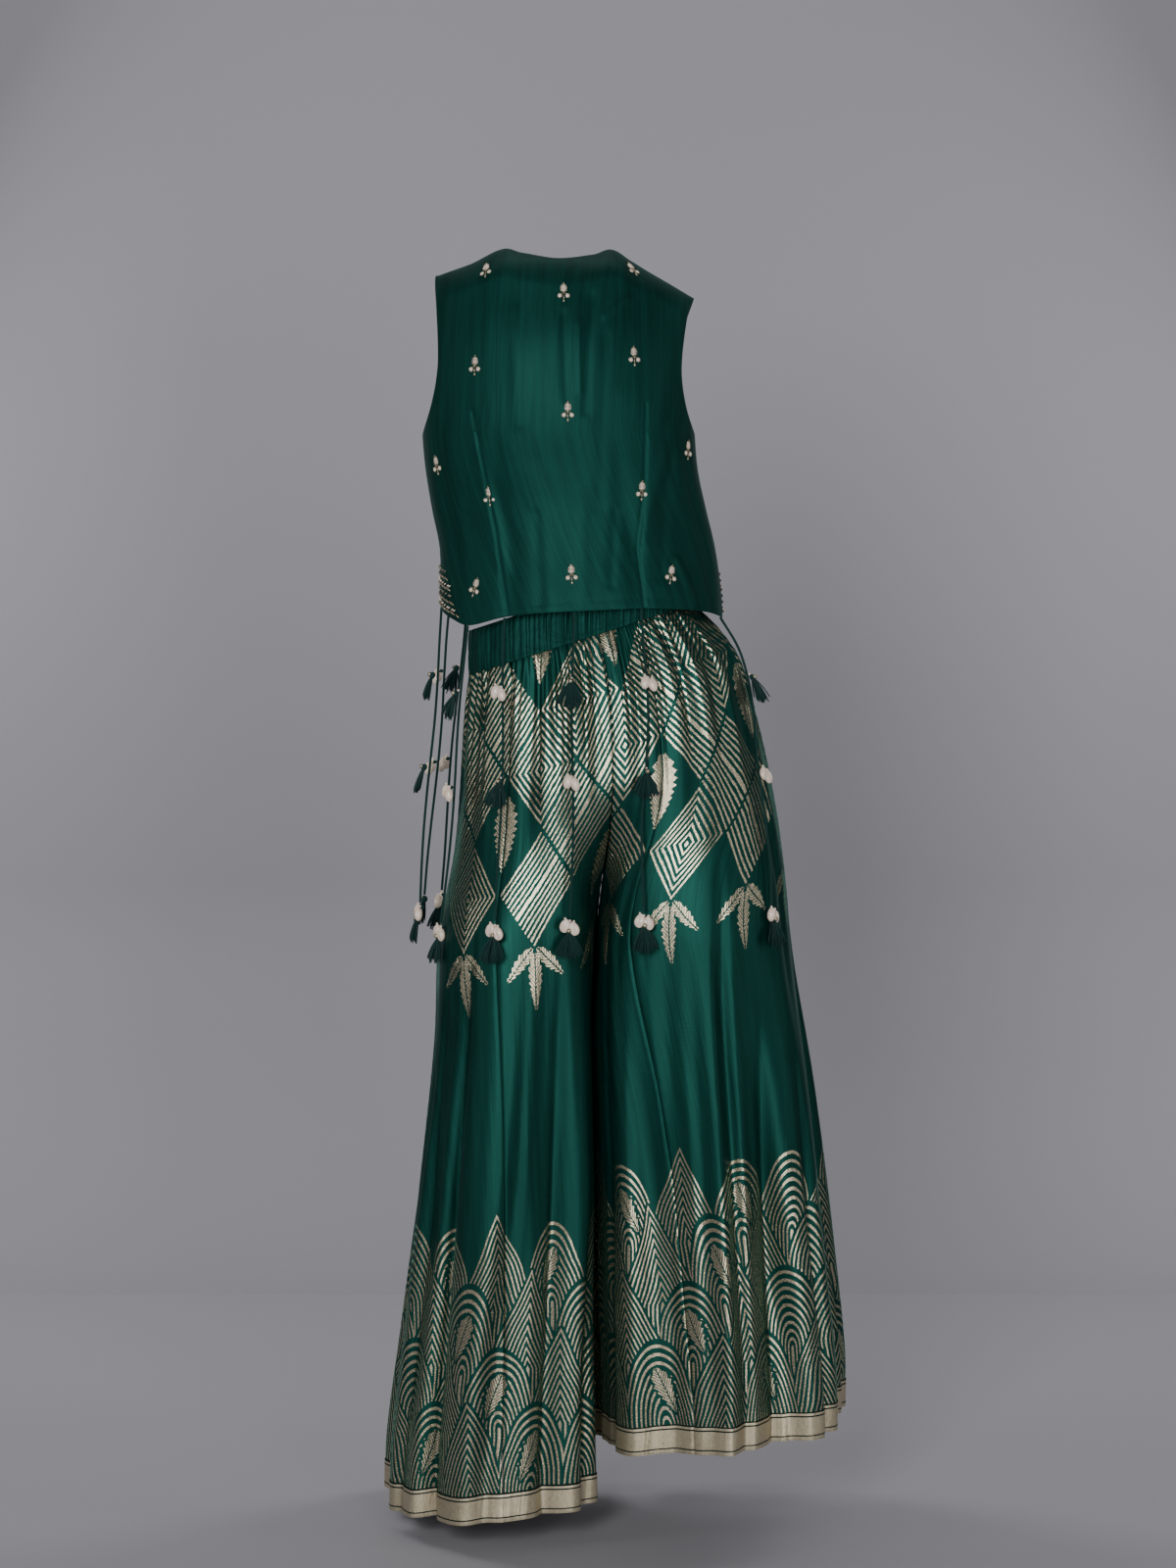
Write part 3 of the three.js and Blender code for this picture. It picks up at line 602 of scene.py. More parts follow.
def thicken(item, thickness, offset):
    """Gives a sheet its thickness in metres, to one side of its faces."""
    modifier = item.modifiers.new("thickness", "SOLIDIFY")
    modifier.thickness = thickness
    modifier.offset = offset
    modifier.use_rim = True
    # the thin edges take the shading of the broad faces beside them
    item.modifiers.new("even_shading", "WEIGHTED_NORMAL")


class Form:
    """Collects small closed shapes with their materials and makes one mesh of them."""

    def __init__(self):
        self.points, self.faces, self.finish = [], [], []

    def add(self, points, faces, finish):
        base = len(self.points)
        self.points.extend(tuple(p) for p in points)
        self.faces.extend(tuple(base + k for k in face) for face in faces)
        self.finish.extend([finish] * len(faces))

    def ball(self, centre, axes, finish, rings=8, around=12, shape=None):
        """A round body; axes is a 3 by 3 array of its half sizes as directions."""
        points = []
        for j in range(rings + 1):
            polar = math.pi * j / rings
            for i in range(around):
                turn = TAU * i / around
                local = np.array(
                    [math.sin(polar) * math.cos(turn), math.sin(polar) * math.sin(turn), math.cos(polar)]
                )
                if shape:
                    local = shape(local)
                points.append(centre + local @ axes)
        faces = []
        for j in range(rings):
            for i in range(around):
                a, b = j * around + i, j * around + (i + 1) % around
                faces.append((a, a + around, b + around, b))
        self.add(points, faces, finish)

    def tube(self, path, radius, finish, sides=4):
        """A tapering tube along a few points."""
        path = np.asarray(path, float)
        points = []
        axis = path[-1] - path[0]
        axis = axis / max(np.linalg.norm(axis), 1e-9)
        helper = np.array([1.0, 0, 0]) if abs(axis[0]) < 0.8 else np.array([0, 1.0, 0])
        across = np.cross(axis, helper)
        across /= np.linalg.norm(across)
        other = np.cross(axis, across)
        radii = np.broadcast_to(radius, (len(path),))
        for p, r in zip(path, radii):
            for i in range(sides):
                turn = TAU * i / sides
                points.append(p + r * (math.cos(turn) * across + math.sin(turn) * other))
        faces = []
        for j in range(len(path) - 1):
            for i in range(sides):
                a, b = j * sides + i, j * sides + (i + 1) % sides
                faces.append((a, b, b + sides, a + sides))
        faces.append(tuple(reversed(range(sides))))
        faces.append(tuple(range((len(path) - 1) * sides, len(path) * sides)))
        self.add(points, faces, finish)

    def make(self, name, finishes):
        mesh = bpy.data.meshes.new(name)
        mesh.from_pydata([tuple(float(c) * MM for c in p) for p in self.points], [], self.faces)
        for finish in finishes:
            mesh.materials.append(finish)
        mesh.polygons.foreach_set("material_index", self.finish)
        mesh.update()
        mesh.validate()
        mesh.shade_smooth()
        return mesh


# Materials.


def math_step(operation):
    """A method that adds one node of this kind to a field's tree."""

    def method(self, *others):
        return self.reckon(operation, *others)

    return method


class Field:
    """A value in a material's node tree that can be reckoned with."""

    def __init__(self, tree, source):
        self.tree, self.source = tree, source

    def reckon(self, operation, *values):
        node = self.tree.nodes.new("ShaderNodeMath")
        node.operation = operation
        for socket, value in zip(node.inputs, (self, *values)):
            if isinstance(value, Field):
                value = value.source
            if isinstance(value, (int, float)):
                socket.default_value = value
            else:
                self.tree.links.new(value, socket)
        return Field(self.tree, node.outputs[0])

    __add__ = math_step("ADD")
    __sub__ = math_step("SUBTRACT")
    __mul__ = math_step("MULTIPLY")
    __truediv__ = math_step("DIVIDE")
    __gt__ = math_step("GREATER_THAN")
    __lt__ = math_step("LESS_THAN")
    floor = math_step("FLOOR")
    ceil = math_step("CEIL")
    fract = math_step("FRACT")
    abs = math_step("ABSOLUTE")
    root = math_step("SQRT")
    sine = math_step("SINE")
    power = math_step("POWER")
    larger = math_step("MAXIMUM")
    smaller = math_step("MINIMUM")

    def less_one(self):
        """One less this value."""
        return self * -1.0 + 1.0


def pick(mask, yes, no):
    """yes where mask is 1 and no where it is 0."""
    return (yes - no) * mask + no


def new_material(name):
    finish = bpy.data.materials.new(f"suit_{name}")
    finish.use_nodes = True
    tree = finish.node_tree
    shader = tree.nodes["Principled BSDF"]
    return finish, tree, shader


def place_on(tree, layer):
    """A UV map in metres, or the object's own space where there is no layer."""
    if not layer:
        return tree.nodes.new("ShaderNodeTexCoord").outputs["Object"]
    source = tree.nodes.new("ShaderNodeUVMap")
    source.uv_map = layer
    return source.outputs["UV"]


def coordinate(tree, layer=None):
    """The parts of a place, each as a field."""
    split = tree.nodes.new("ShaderNodeSeparateXYZ")
    tree.links.new(place_on(tree, layer), split.inputs[0])
    return [Field(tree, out) for out in split.outputs]


def noise_field(tree, scale, stretch=(1, 1, 1), layer=None, detail=3.0, distortion=0.0):
    """Soft noise, stretched along its axes."""
    mapping = tree.nodes.new("ShaderNodeMapping")
    mapping.inputs["Scale"].default_value = stretch
    tree.links.new(place_on(tree, layer), mapping.inputs["Vector"])
    noise = tree.nodes.new("ShaderNodeTexNoise")
    noise.inputs["Scale"].default_value = scale
    noise.inputs["Detail"].default_value = detail
    noise.inputs["Distortion"].default_value = distortion
    tree.links.new(mapping.outputs["Vector"], noise.inputs["Vector"])
    return Field(tree, noise.outputs["Fac"])


def mix_colours(tree, amount, first, second):
    """A colour between two, by a field. Each is a colour or a node's output."""
    node = tree.nodes.new("ShaderNodeMix")
    node.data_type = "RGBA"
    tree.links.new(amount.source, node.inputs["Factor"])
    sockets = [s for s in node.inputs if s.type == "RGBA"]
    for socket, colour in zip(sockets, (first, second)):
        if isinstance(colour, bpy.types.NodeSocket):
            tree.links.new(colour, socket)
        else:
            socket.default_value = (*colour, 1.0)
    return next(s for s in node.outputs if s.type == "RGBA")


def drive(tree, shader, name, value):
    """Links a field or a node's output to one of the shader's inputs."""
    tree.links.new(value.source if isinstance(value, Field) else value, shader.inputs[name])


def add_bump(tree, shader, height, distance, strength):
    """Relief from a field, in metres."""
    bump = tree.nodes.new("ShaderNodeBump")
    bump.inputs["Distance"].default_value = distance
    bump.inputs["Strength"].default_value = strength
    tree.links.new(height.source, bump.inputs["Height"])
    tree.links.new(bump.outputs["Normal"], shader.inputs["Normal"])


BROCADE_GLOSS = 0.3  # how much of the brocade ground's shine is coloured
GOLD_GLOSS = 0.93
SILK_WEAVE = 0.0011  # from thread to thread, in metres
GOLD_WEAVE = 0.0009
CLOTH_RELIEF = 0.0003


def silk_parts(tree, colours):
    """Colour and height of plain green silk: slubs down the warp, soft creasing and a fine weave."""
    u, v, _ = coordinate(tree, "cut")
    slub = noise_field(tree, 60, (6.0, 0.35, 1), "cut", 4.0)
    cross = noise_field(tree, 60, (0.3, 7.0, 1), "cut", 3.0)
    cloud = noise_field(tree, 11, (1.0, 0.3, 1), "cut", 3.0, 0.4)
    streak = noise_field(tree, 30, (4.0, 0.2, 1), "cut", 3.0, 0.3)
    dark_part = (slub * 0.8 + streak * 1.2 - 0.5).larger(0.0)
    base = mix_colours(tree, dark_part, colours.silk_dark, colours.silk)
    light_cloud = (cloud * 1.6 - 0.5).larger(0.0).smaller(1.0) * 0.4
    light_thread = (slub * 0.5 + streak * 0.9 - 0.6).larger(0.0)
    base = mix_colours(tree, light_cloud + light_thread, base, colours.silk_light)
    weave = (u * (TAU / SILK_WEAVE)).sine() * (v * (TAU / SILK_WEAVE)).sine()
    height = slub * 0.6 + cross * 0.3 + weave * 0.05 + cloud * 5.0 + streak * 2.4
    return base, height, slub


def finish_silk(shader, level):
    """What plain silk and brocade's ground share."""
    shader.inputs["Sheen Weight"].default_value = 0.02
    shader.inputs["Sheen Roughness"].default_value = 0.35
    shader.inputs["Sheen Tint"].default_value = (0.1, 0.7, 0.5, 1)
    shader.inputs["Specular IOR Level"].default_value = level
    shader.inputs["Specular Tint"].default_value = (0.16, 0.86, 0.68, 1)


def make_silk(name, colours, gloss):
    """Plain green silk; gloss is how much of its shine is coloured."""
    finish, tree, shader = new_material(name)
    base, height, slub = silk_parts(tree, colours)
    drive(tree, shader, "Base Color", base)
    drive(tree, shader, "Roughness", slub * 0.12 + 0.46)
    shader.inputs["Metallic"].default_value = gloss
    finish_silk(shader, 0.4)
    add_bump(tree, shader, height, CLOTH_RELIEF, 0.8)
    return finish


DIAMOND_WIDTH = 0.094
DIAMOND_HEIGHT = 0.138
DIAMOND_LAST = 4  # the last row of diamonds, counted in half heights
ARCH_WIDTH = 0.08
ARCH_REACH = 0.062
ARCH_HEIGHT = 0.113
ARCH_STEP = 0.07
ARCH_ROWS = 3
ARCH_LAYERS = 3  # how many arches can lie over one another
ARCH_PITCH = 1.08  # their stripes' pitch as a part of the diamonds'


def stripes(distance, pitch, gold_part):
    """1 on the gold part of each stripe."""
    return (distance / pitch).fract() < gold_part


def leaf(x, y, angle, length, width, veined=True):
    """A plain pointed leaf that hangs down from the origin, with a green rib and fine veins."""
    c, s = math.cos(angle), math.sin(angle)
    across = x * c + y * s
    along = (y * c - x * s) / length
    inside = (along > 0.0) * (along < 1.0)
    half = ((along.larger(0.0).smaller(1.0) * 0.96 + 0.04).power(0.72) * math.pi).sine() * width
    teeth = ((across.abs() * 0.9 - along * length) / 0.0085).fract()
    half = half * (teeth * 0.36 + 0.74)
    body = (across.abs() < half) * inside
    if not veined:
        return body
    rib = across.abs() > 0.0007
    vein = ((along * length + across.abs() * 1.3) / 0.0046).fract() < 0.74
    return body * rib * vein


def diamond_ground(u, v, pitch, gold_part):
    """Nested and slanting stripes in a lattice of diamonds, down to a zigzag edge with leaves."""
    a = u / DIAMOND_WIDTH + v / DIAMOND_HEIGHT
    b = u / DIAMOND_WIDTH - v / DIAMOND_HEIGHT
    cell_a, cell_b = a.floor(), b.floor()
    from_a = (a - cell_a - 0.5).abs()
    from_b = (b - cell_b - 0.5).abs()
    row = cell_a - cell_b
    odd = (cell_a * 0.5).fract() > 0.25
    side = DIAMOND_WIDTH * DIAMOND_HEIGHT / math.hypot(DIAMOND_WIDTH, DIAMOND_HEIGHT)
    nested = from_a.larger(from_b)
    distance = pick(odd, nested, from_a) * side
    edge = nested < 0.475
    kept = row < DIAMOND_LAST + 0.5
    # some diamonds hold a leaf on plain ground
    leafy = ((cell_a + cell_b * 3.0 + 0.5) / 5.0).fract() < 0.25
    inner_x = (a - cell_a + b - cell_b - 1.0) * (DIAMOND_WIDTH / 2)
    inner_y = (a - cell_a - b + cell_b) * (DIAMOND_HEIGHT / 2)
    plain_leaf = leaf(inner_x, inner_y + DIAMOND_HEIGHT * 0.34, 0.0, DIAMOND_HEIGHT * 0.66, 0.0165)
    ground = pick(leafy, plain_leaf, stripes(distance, pitch, gold_part) * edge) * kept
    # leaves below each lowest diamond's tip
    tip = (DIAMOND_LAST + 1) * DIAMOND_HEIGHT / 2
    x = ((u / DIAMOND_WIDTH).fract() - 0.5) * DIAMOND_WIDTH
    y = v - (tip + 0.004)
    below = (v > tip - 0.012) * (row > DIAMOND_LAST + 0.5)
    sprig = leaf(x, y, 0.0, 0.07, 0.0085)
    for way in (-1, 1):
        sprig = sprig.larger(leaf(x + way * 0.003, y + 0.006, way * 0.72, 0.052, 0.0075))
    return ground.larger(sprig * below)


def arch_ground(u, h, pitch, gold_part):
    """Rows of tall striped arches above the border, round and pointed by turns; h is the height."""
    base = BORDER_HEIGHT * MM
    first = ((h - base - ARCH_HEIGHT) / ARCH_STEP).ceil().larger(0.0)
    distance, owned, sprig, ground = None, None, None, None
    for k in range(ARCH_LAYERS):
        row = first + float(k)
        shift = (row * 0.5).fract() + (row * 0.31).fract() * 0.2
        column = u / ARCH_WIDTH + shift
        x = (column.fract() - 0.5) * ARCH_WIDTH
        y = h - base - row * ARCH_STEP
        pointed = ((column.floor() + row * 0.7) * 0.43).fract() > 0.5
        wide, tall = x * 1.35, y.larger(0.0)
        rounded = (wide * wide + tall * tall * 0.38).root()
        d = pick(pointed, x.abs() * 1.15 + tall * 0.52, rounded)
        inside = (d < ARCH_REACH) * (row < ARCH_ROWS + 0.5)
        leafy = ((column.floor() * 0.37 + row * 0.21).fract() < 0.3) * inside
        leaf_y = y * -1.0 + 0.066
        blade = leaf(x - 0.004, leaf_y, 0.35, 0.055, 0.011) * leafy
        bare = leaf(x - 0.005, leaf_y + 0.003, 0.35, 0.063, 0.016, False) * leafy
        if distance is None:
            distance, owned, sprig, ground = d, inside, blade, bare
        else:
            distance = pick(owned, distance, d)
            sprig = pick(owned, sprig, blade)
            ground = pick(owned, ground, bare)
            owned = owned.larger(inside)
    ring = stripes(distance, pitch, gold_part) * ground.less_one()
    rim = distance < ARCH_REACH - 0.0014
    return ring.larger(sprig) * rim * owned


def make_brocade(name, colours, pitch, gold_part):
    """Green silk with pale gold thread woven in."""
    finish, tree, shader = new_material(name)
    base, height, slub = silk_parts(tree, colours)
    u, v, _ = coordinate(tree, "cut")
    _, h, _ = coordinate(tree, "hem")
    wander = noise_field(tree, 14, (1, 1, 1), "cut", 2.0) * 0.004 - 0.002
    ragged = noise_field(tree, 700, (0.6, 1, 1), "cut", 1.0) * 0.0012 - 0.0006
    bow = noise_field(tree, 8, (1, 1, 1), "cut", 1.0) * 0.03 - 0.015
    u2, v2 = u + wander + ragged, v + ragged
    gold_mask = diamond_ground(u2, v2, pitch, gold_part).larger(
        arch_ground(u2 + bow, h + ragged + bow * 0.8, pitch * ARCH_PITCH, gold_part)
    )
    grain = noise_field(tree, 800, (0.35, 1.2, 1), "cut", 2.0)
    patch = noise_field(tree, 22, (1, 1, 1), "cut", 3.0)
    # painted shade and painted highlight: the woven gold takes its painted shaded copy by fine grain and
    # its painted highlight copy in patches
    gold = mix_colours(tree, grain, colours.gold_painted_shade, colours.gold)
    gold = mix_colours(tree, patch * 0.5, gold, colours.gold_painted_highlight)
    worn = (grain > 0.3) * gold_mask
    drive(tree, shader, "Base Color", mix_colours(tree, worn, base, gold))
    drive(tree, shader, "Metallic", worn * (GOLD_GLOSS - BROCADE_GLOSS) + BROCADE_GLOSS)
    drive(tree, shader, "Roughness", pick(worn, grain * 0.14 + 0.19, slub * 0.12 + 0.4))
    finish_silk(shader, 0.6)
    thread = (u * (TAU / GOLD_WEAVE)).sine() * gold_mask
    raised = height + gold_mask * 0.4 + thread * 0.1 + grain * 0.2
    add_bump(tree, shader, raised, CLOTH_RELIEF, 0.8)
    return finish


def make_tissue(name, colours):
    """The gold hem border: close metallic ribs with thin green lines at its edges."""
    finish, tree, shader = new_material(name)
    u, _, _ = coordinate(tree, "cut")
    _, h, _ = coordinate(tree, "hem")
    grain = noise_field(tree, 700, (1.0, 0.3, 1), "cut", 2.0)
    patch = noise_field(tree, 30, (1, 1, 1), "cut", 3.0)
    # painted shade and painted highlight: the border's gold takes its painted shaded copy by fine grain
    # and its painted highlight copy in patches
    gold = mix_colours(tree, grain, colours.gold_painted_shade, colours.gold)
    gold = mix_colours(tree, patch * 0.6, gold, colours.gold_painted_highlight)
    top = BORDER_HEIGHT * MM
    lines = (h > top - 0.0018).larger((h < top - 0.0045) * (h > top - 0.0062))
    lines = lines.larger((h > 0.0045) * (h < 0.006))
    check = ((u / 0.0022).fract() > 0.5) * ((h / 0.0026).fract() > 0.5)
    drive(tree, shader, "Base Color", mix_colours(tree, lines, gold, colours.silk_dark))
    drive(tree, shader, "Metallic", lines.less_one() * 0.85)
    drive(tree, shader, "Roughness", grain * 0.2 + check * 0.06 + lines * 0.4 + 0.32)
    shader.inputs["Specular IOR Level"].default_value = 0.1
    pucker = noise_field(tree, 40, (3.0, 0.3, 1), "cut", 2.0)
    add_bump(tree, shader, check * 0.3 + grain * 0.3 + pucker * 5.0, CLOTH_RELIEF, 0.8)
    return finish


def make_thread(name, colour, light, ply=0.0013):
    """Twisted thread: slanting ply in height and shade."""
    finish, tree, shader = new_material(name)
    x, y, z = coordinate(tree)
    twist = ((z * 1.6 + x + y) * (TAU / ply)).sine() * 0.5 + 0.5
    grain = noise_field(tree, 600)
    shade = mix_colours(tree, twist * 0.6 + grain * 0.4, colour, light)
    drive(tree, shader, "Base Color", shade)
    drive(tree, shader, "Roughness", grain * 0.2 + 0.6)
    shader.inputs["Sheen Weight"].default_value = 0.04
    shader.inputs["Specular IOR Level"].default_value = 0.2
    add_bump(tree, shader, twist, 0.0004, 0.6)
    return finish


def make_pearl(name, colour, warm):
    """Uneven pearly glass."""
    finish, tree, shader = new_material(name)
    cloud = noise_field(tree, 260, detail=2.0)
    drive(tree, shader, "Base Color", mix_colours(tree, cloud, colour, warm))
    drive(tree, shader, "Roughness", cloud * 0.15 + 0.16)
    shader.inputs["Coat Weight"].default_value = 0.5
    shader.inputs["Coat Roughness"].default_value = 0.12
    add_bump(tree, shader, cloud, 0.0006, 0.4)
    return finish


def make_metal(name, dark, light):
    """Small gilt beads and stitches."""
    finish, tree, shader = new_material(name)
    grain = noise_field(tree, 900, detail=2.0)
    # painted shade and painted highlight: the gilt mixes the gold thread's painted shaded copy and
    # painted highlight copy by fine grain
    drive(tree, shader, "Base Color", mix_colours(tree, grain, dark, light))
    shader.inputs["Metallic"].default_value = 0.8
    drive(tree, shader, "Roughness", grain * 0.2 + 0.25)
    add_bump(tree, shader, grain, 0.0003, 0.5)
    return finish


def make_stage_finish(name, colour, one_sided=False):
    """A matt painted surface; a one-sided one isn't seen from behind."""
    finish, tree, shader = new_material(name)
    shader.inputs["Base Color"].default_value = (*colour, 1)
    shader.inputs["Roughness"].default_value = 0.6
    if one_sided:
        side = tree.nodes.new("ShaderNodeNewGeometry")
        clear = tree.nodes.new("ShaderNodeBsdfTransparent")
        mix = tree.nodes.new("ShaderNodeMixShader")
        tree.links.new(side.outputs["Backfacing"], mix.inputs[0])
        tree.links.new(shader.outputs[0], mix.inputs[1])
        tree.links.new(clear.outputs[0], mix.inputs[2])
        tree.links.new(mix.outputs[0], tree.nodes["Material Output"].inputs["Surface"])
    return finish


def finish_named(name):
    return bpy.data.materials[f"suit_{name}"]


# Settings.


def colour_property(name, text, value):
    return bpy.props.FloatVectorProperty(
        name=name, description=text, subtype="COLOR", size=3, min=0, max=1, default=value
    )


def length_property(name, text, value):
    return bpy.props.FloatProperty(
        name=name, description=text, unit="LENGTH", default=value, min=0, max=1, precision=4
    )


class SuitSizes(bpy.types.PropertyGroup):
    """Sizes that can be changed without new solids."""

    top_cloth: length_property("Top cloth", "Thickness of the top's silk", 0.0011)
    leg_cloth: length_property("Leg cloth", "Thickness of the trousers' brocade", 0.0009)
    band_cloth: length_property("Band cloth", "Thickness of the gathered waistband", 0.0014)
    border_cloth: length_property("Border cloth", "Thickness of the hem border", 0.0006)
    cord_radius: length_property("Cord radius", "Half the thickness of a hanging cord", 0.0015)
    stripe_pitch: length_property("Stripe pitch", "Distance between two woven gold stripes", 0.0057)
    stripe_gold: bpy.props.FloatProperty(
        name="Gold part", description="Part of each stripe that is gold", default=0.4, min=0, max=1
    )
    tassel_threads: bpy.props.IntProperty(
        name="Tassel threads", description="Threads in one tassel", default=44, min=6, max=80
    )


class SuitColours(bpy.types.PropertyGroup):
    """Colours of cloth, thread and beads."""

    silk: colour_property("Silk", "Green silk", (0.001, 0.0166, 0.0141))
    silk_dark: colour_property("Silk, dark", "Green silk's dark threads", (0.0005, 0.0086, 0.0074))
    silk_light: colour_property("Silk, light", "Green silk's light threads", (0.003, 0.04, 0.032))
    gold: colour_property("Gold thread", "Woven gold thread", (0.62, 0.54, 0.38))
    # painted shade: a shaded copy of the gold thread's colour, mixed into the woven gold, the hem border
    # and the gilt
    gold_painted_shade: colour_property("Gold thread, dark", "Shaded gold thread", (0.12, 0.096, 0.058))
    # painted highlight: a brightly lit copy of the gold thread's colour, mixed into the woven gold, the
    # hem border and the gilt
    gold_painted_highlight: colour_property("Gold thread, light", "Bright gold thread", (0.64, 0.57, 0.42))
    cord: colour_property("Cord", "Hanging cords", (0.0009, 0.016, 0.0138))
    cord_light: colour_property("Cord, light", "Light ply of the cords", (0.0026, 0.04, 0.033))
    tassel: colour_property("Tassel", "Tassel threads", (0.0006, 0.009, 0.0085))
    tassel_light: colour_property("Tassel, light", "Light tassel threads", (0.0038, 0.05, 0.046))
    ivory: colour_property("Ivory", "Pearls and shells", (0.8, 0.7, 0.61))
    ivory_warm: colour_property("Ivory, warm", "Warm tone of pearls and shells", (0.56, 0.42, 0.31))
    wall: colour_property("Backdrop", "Studio backdrop", (0.25, 0.245, 0.27))
    floor: colour_property("Floor", "Studio floor", (0.27, 0.265, 0.285))


# Operators.


class SUIT_OT_finishes(bpy.types.Operator):
    """Make the suit's materials"""

    bl_idname = "suit.finishes"
    bl_label = "Finishes"

    def execute(self, context):
        colours = context.scene.suit_colours
        sizes = context.scene.suit_sizes
        make_silk("green_silk", colours, 0.17)
        make_silk("green_gathered_silk", colours, 0.2)
        make_brocade("green_brocade", colours, sizes.stripe_pitch, sizes.stripe_gold)
        make_tissue("gold_tissue", colours)
        make_thread("green_cord", colours.cord, colours.cord_light)
        make_thread("green_thread", colours.tassel, colours.tassel_light, 0.0021)
        make_pearl("ivory_pearl", colours.ivory, colours.ivory_warm)
        make_pearl("ivory_shell", colours.ivory, colours.ivory_warm)
        make_metal("gilt", colours.gold_painted_shade, colours.gold_painted_highlight)
        make_stage_finish("floor_paint", colours.floor)
        make_stage_finish("wall_paint", colours.wall, True)
        return {"FINISHED"}


def cut_and_hem(across, down):
    """Two UV maps: along the cut, and up from the hem."""
    return {
        "cut": np.stack([across, down], axis=-1),
        "hem": np.stack([across, down[-1:] - down], axis=-1),
    }


def make_cloth(node, mesh, finish, thickness, offset, points, **laid):
    """One sheet in the place of one solid, with its finish and its thickness; its points are not used.
    """
    item = new_object(f"{node}_cloth", mesh)
    item.data.materials.append(finish_named(finish))
    thicken(item, thickness, offset)
    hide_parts(node)


# depth, width, and points in x and height along the line
BACK_DARTS = [
    (-1.9, 1.7, [(-143, 214), (-128, 135), (-115, 69), (-101, -30)]),
    (-1.9, 1.7, [(62, 224), (60, 135), (51, 50), (61, -30)]),
    (1.3, 8, [(-135, 170), (-122, 110), (-106, 30)]),
    (1.4, 9, [(67, 180), (66, 110), (60, 30)]),
]
BACK_CREASES = [
    (-0.9, 2.0, [(-31, 404), (-31, 362)]),
    (1.7, 4, [(13, 326), (27, 339), (39, 349)]),
    (-1.3, 5, [(-36, 328), (-32, 225)]),
    (1.1, 4, [(-18, 318), (-16, 236)]),
    (-1.4, 6, [(-3, 350), (-9, 213)]),
    (-1.1, 8, [(14, 300), (7, 100)]),
    (1.4, 4, [(98, 40), (120, -10)]),
    (1.5, 6, [(78, 150), (66, 100), (58, 60)]),
    (-1.8, 7, [(96, 175), (84, 90), (78, 20)]),
    (-1.1, 7, [(-69, 92), (-62, -12)]),
    (1.0, 8, [(-14, 120), (-12, -5)]),
    (-1.2, 6, [(25, 95), (20, 10)]),
    (1.2, 9, [(-95, 330), (-88, 200)]),
    (-1.0, 7, [(-150, 90), (-135, -10)]),
    (-1.3, 9, [(105, 300), (92, 210)]),
]
FRONT_CREASES = [
    (-1.6, 6, [(-90, 190), (-70, 90)]),
    (1.3, 7, [(-20, 150), (-25, 20)]),
    (-1.5, 6, [(40, 180), (25, 80)]),
    (1.2, 8, [(80, 120), (70, 0)]),
    (-1.2, 7, [(-130, 120), (-120, 0)]),
    (1.4, 5, [(-110, 250), (-85, 215)]),
    (-1.3, 5, [(55, 260), (30, 225)]),
    (-1.0, 9, [(-50, 90), (-48, -5)]),
]


def creases(points, table):
    """How far creases along lines in the elevation move the cloth."""
    x, z = points[..., 0], points[..., 2]
    push = 0
    for depth, width, line in table:
        nearest = np.full(x.shape, np.inf)
        for (x0, z0), (x1, z1) in zip(line, line[1:]):
            along = np.array([x1 - x0, z1 - z0], float)
            t = np.clip(((x - x0) * along[0] + (z - z0) * along[1]) / (along @ along), 0, 1)
            nearest = np.minimum(nearest, np.hypot(x - x0 - t * along[0], z - z0 - t * along[1]))
        push = push + depth * np.exp(-((nearest / width) ** 2))
    return push + 0.3 * np.sin(x * 0.071 + 0.8) * np.sin(z * 0.053)


# columns and rows of the back, 1, and the front, -1
TOP_GRID = {1: (230, 150), -1: (120, 120)}
HEM_STITCHING = 13  # from the hem up


def top_grid(side, columns, rows):
    """Points and normals of the top's back, side 1, or front, side -1, with all creases."""
    u = np.linspace(0, 1, columns)[None, :]
    lower = np.linspace(0, 0.5, rows // 2)
    upper = 0.5 + 0.5 * np.linspace(0, 1, rows // 2) ** 1.35
    v = np.concatenate([lower, upper[1:]])[::-1, None]
    points = top_point(side, u, v)
    normals = grid_normals(points)
    centre = np.array([TORSO_MIDDLE, 0, 0])
    if np.sum((points - centre) * normals * [1, 1, 0]) < 0:
        normals = -normals
    push = creases(points, BACK_CREASES + BACK_DARTS if side > 0 else FRONT_CREASES)
    # flatter at the edges, with a stitched line along the hem
    edge = smooth(0, 0.04, u) * smooth(1, 0.96, u) * smooth(1, 0.985, v)
    push = push * edge
    down = grid_lengths(points, 0)
    push = push - 0.5 * np.exp(-(((down[-1:] - down - HEM_STITCHING) / 1.6) ** 2))
    return points + normals * push[..., None], normals


class SUIT_OT_top(bpy.types.Operator):
    """Make the top's back and front"""

    bl_idname = "suit.top"
    bl_label = "Top"

    def execute(self, context):
        sizes = context.scene.suit_sizes
        for side, name in ((1, "top_back"), (-1, "top_front")):
            points, _ = top_grid(side, *TOP_GRID[side])
            across = grid_lengths(points, 1)
            middle = across[:, across.shape[1] // 2][:, None]
            cut = np.stack([across - middle, grid_lengths(points, 0)], axis=-1)
            mesh = grid_mesh(f"{name}_cloth", points, {"cut": cut})
            make_cloth(name, mesh, "green_silk", sizes.top_cloth, -1.0, points, held="hung")
        return {"FINISHED"}


BAND_GATHERS = 150
BAND_GRID = (1100, 24)
STITCHING = (0.06, 0.94)  # heights of the two rows, as parts of the band's height


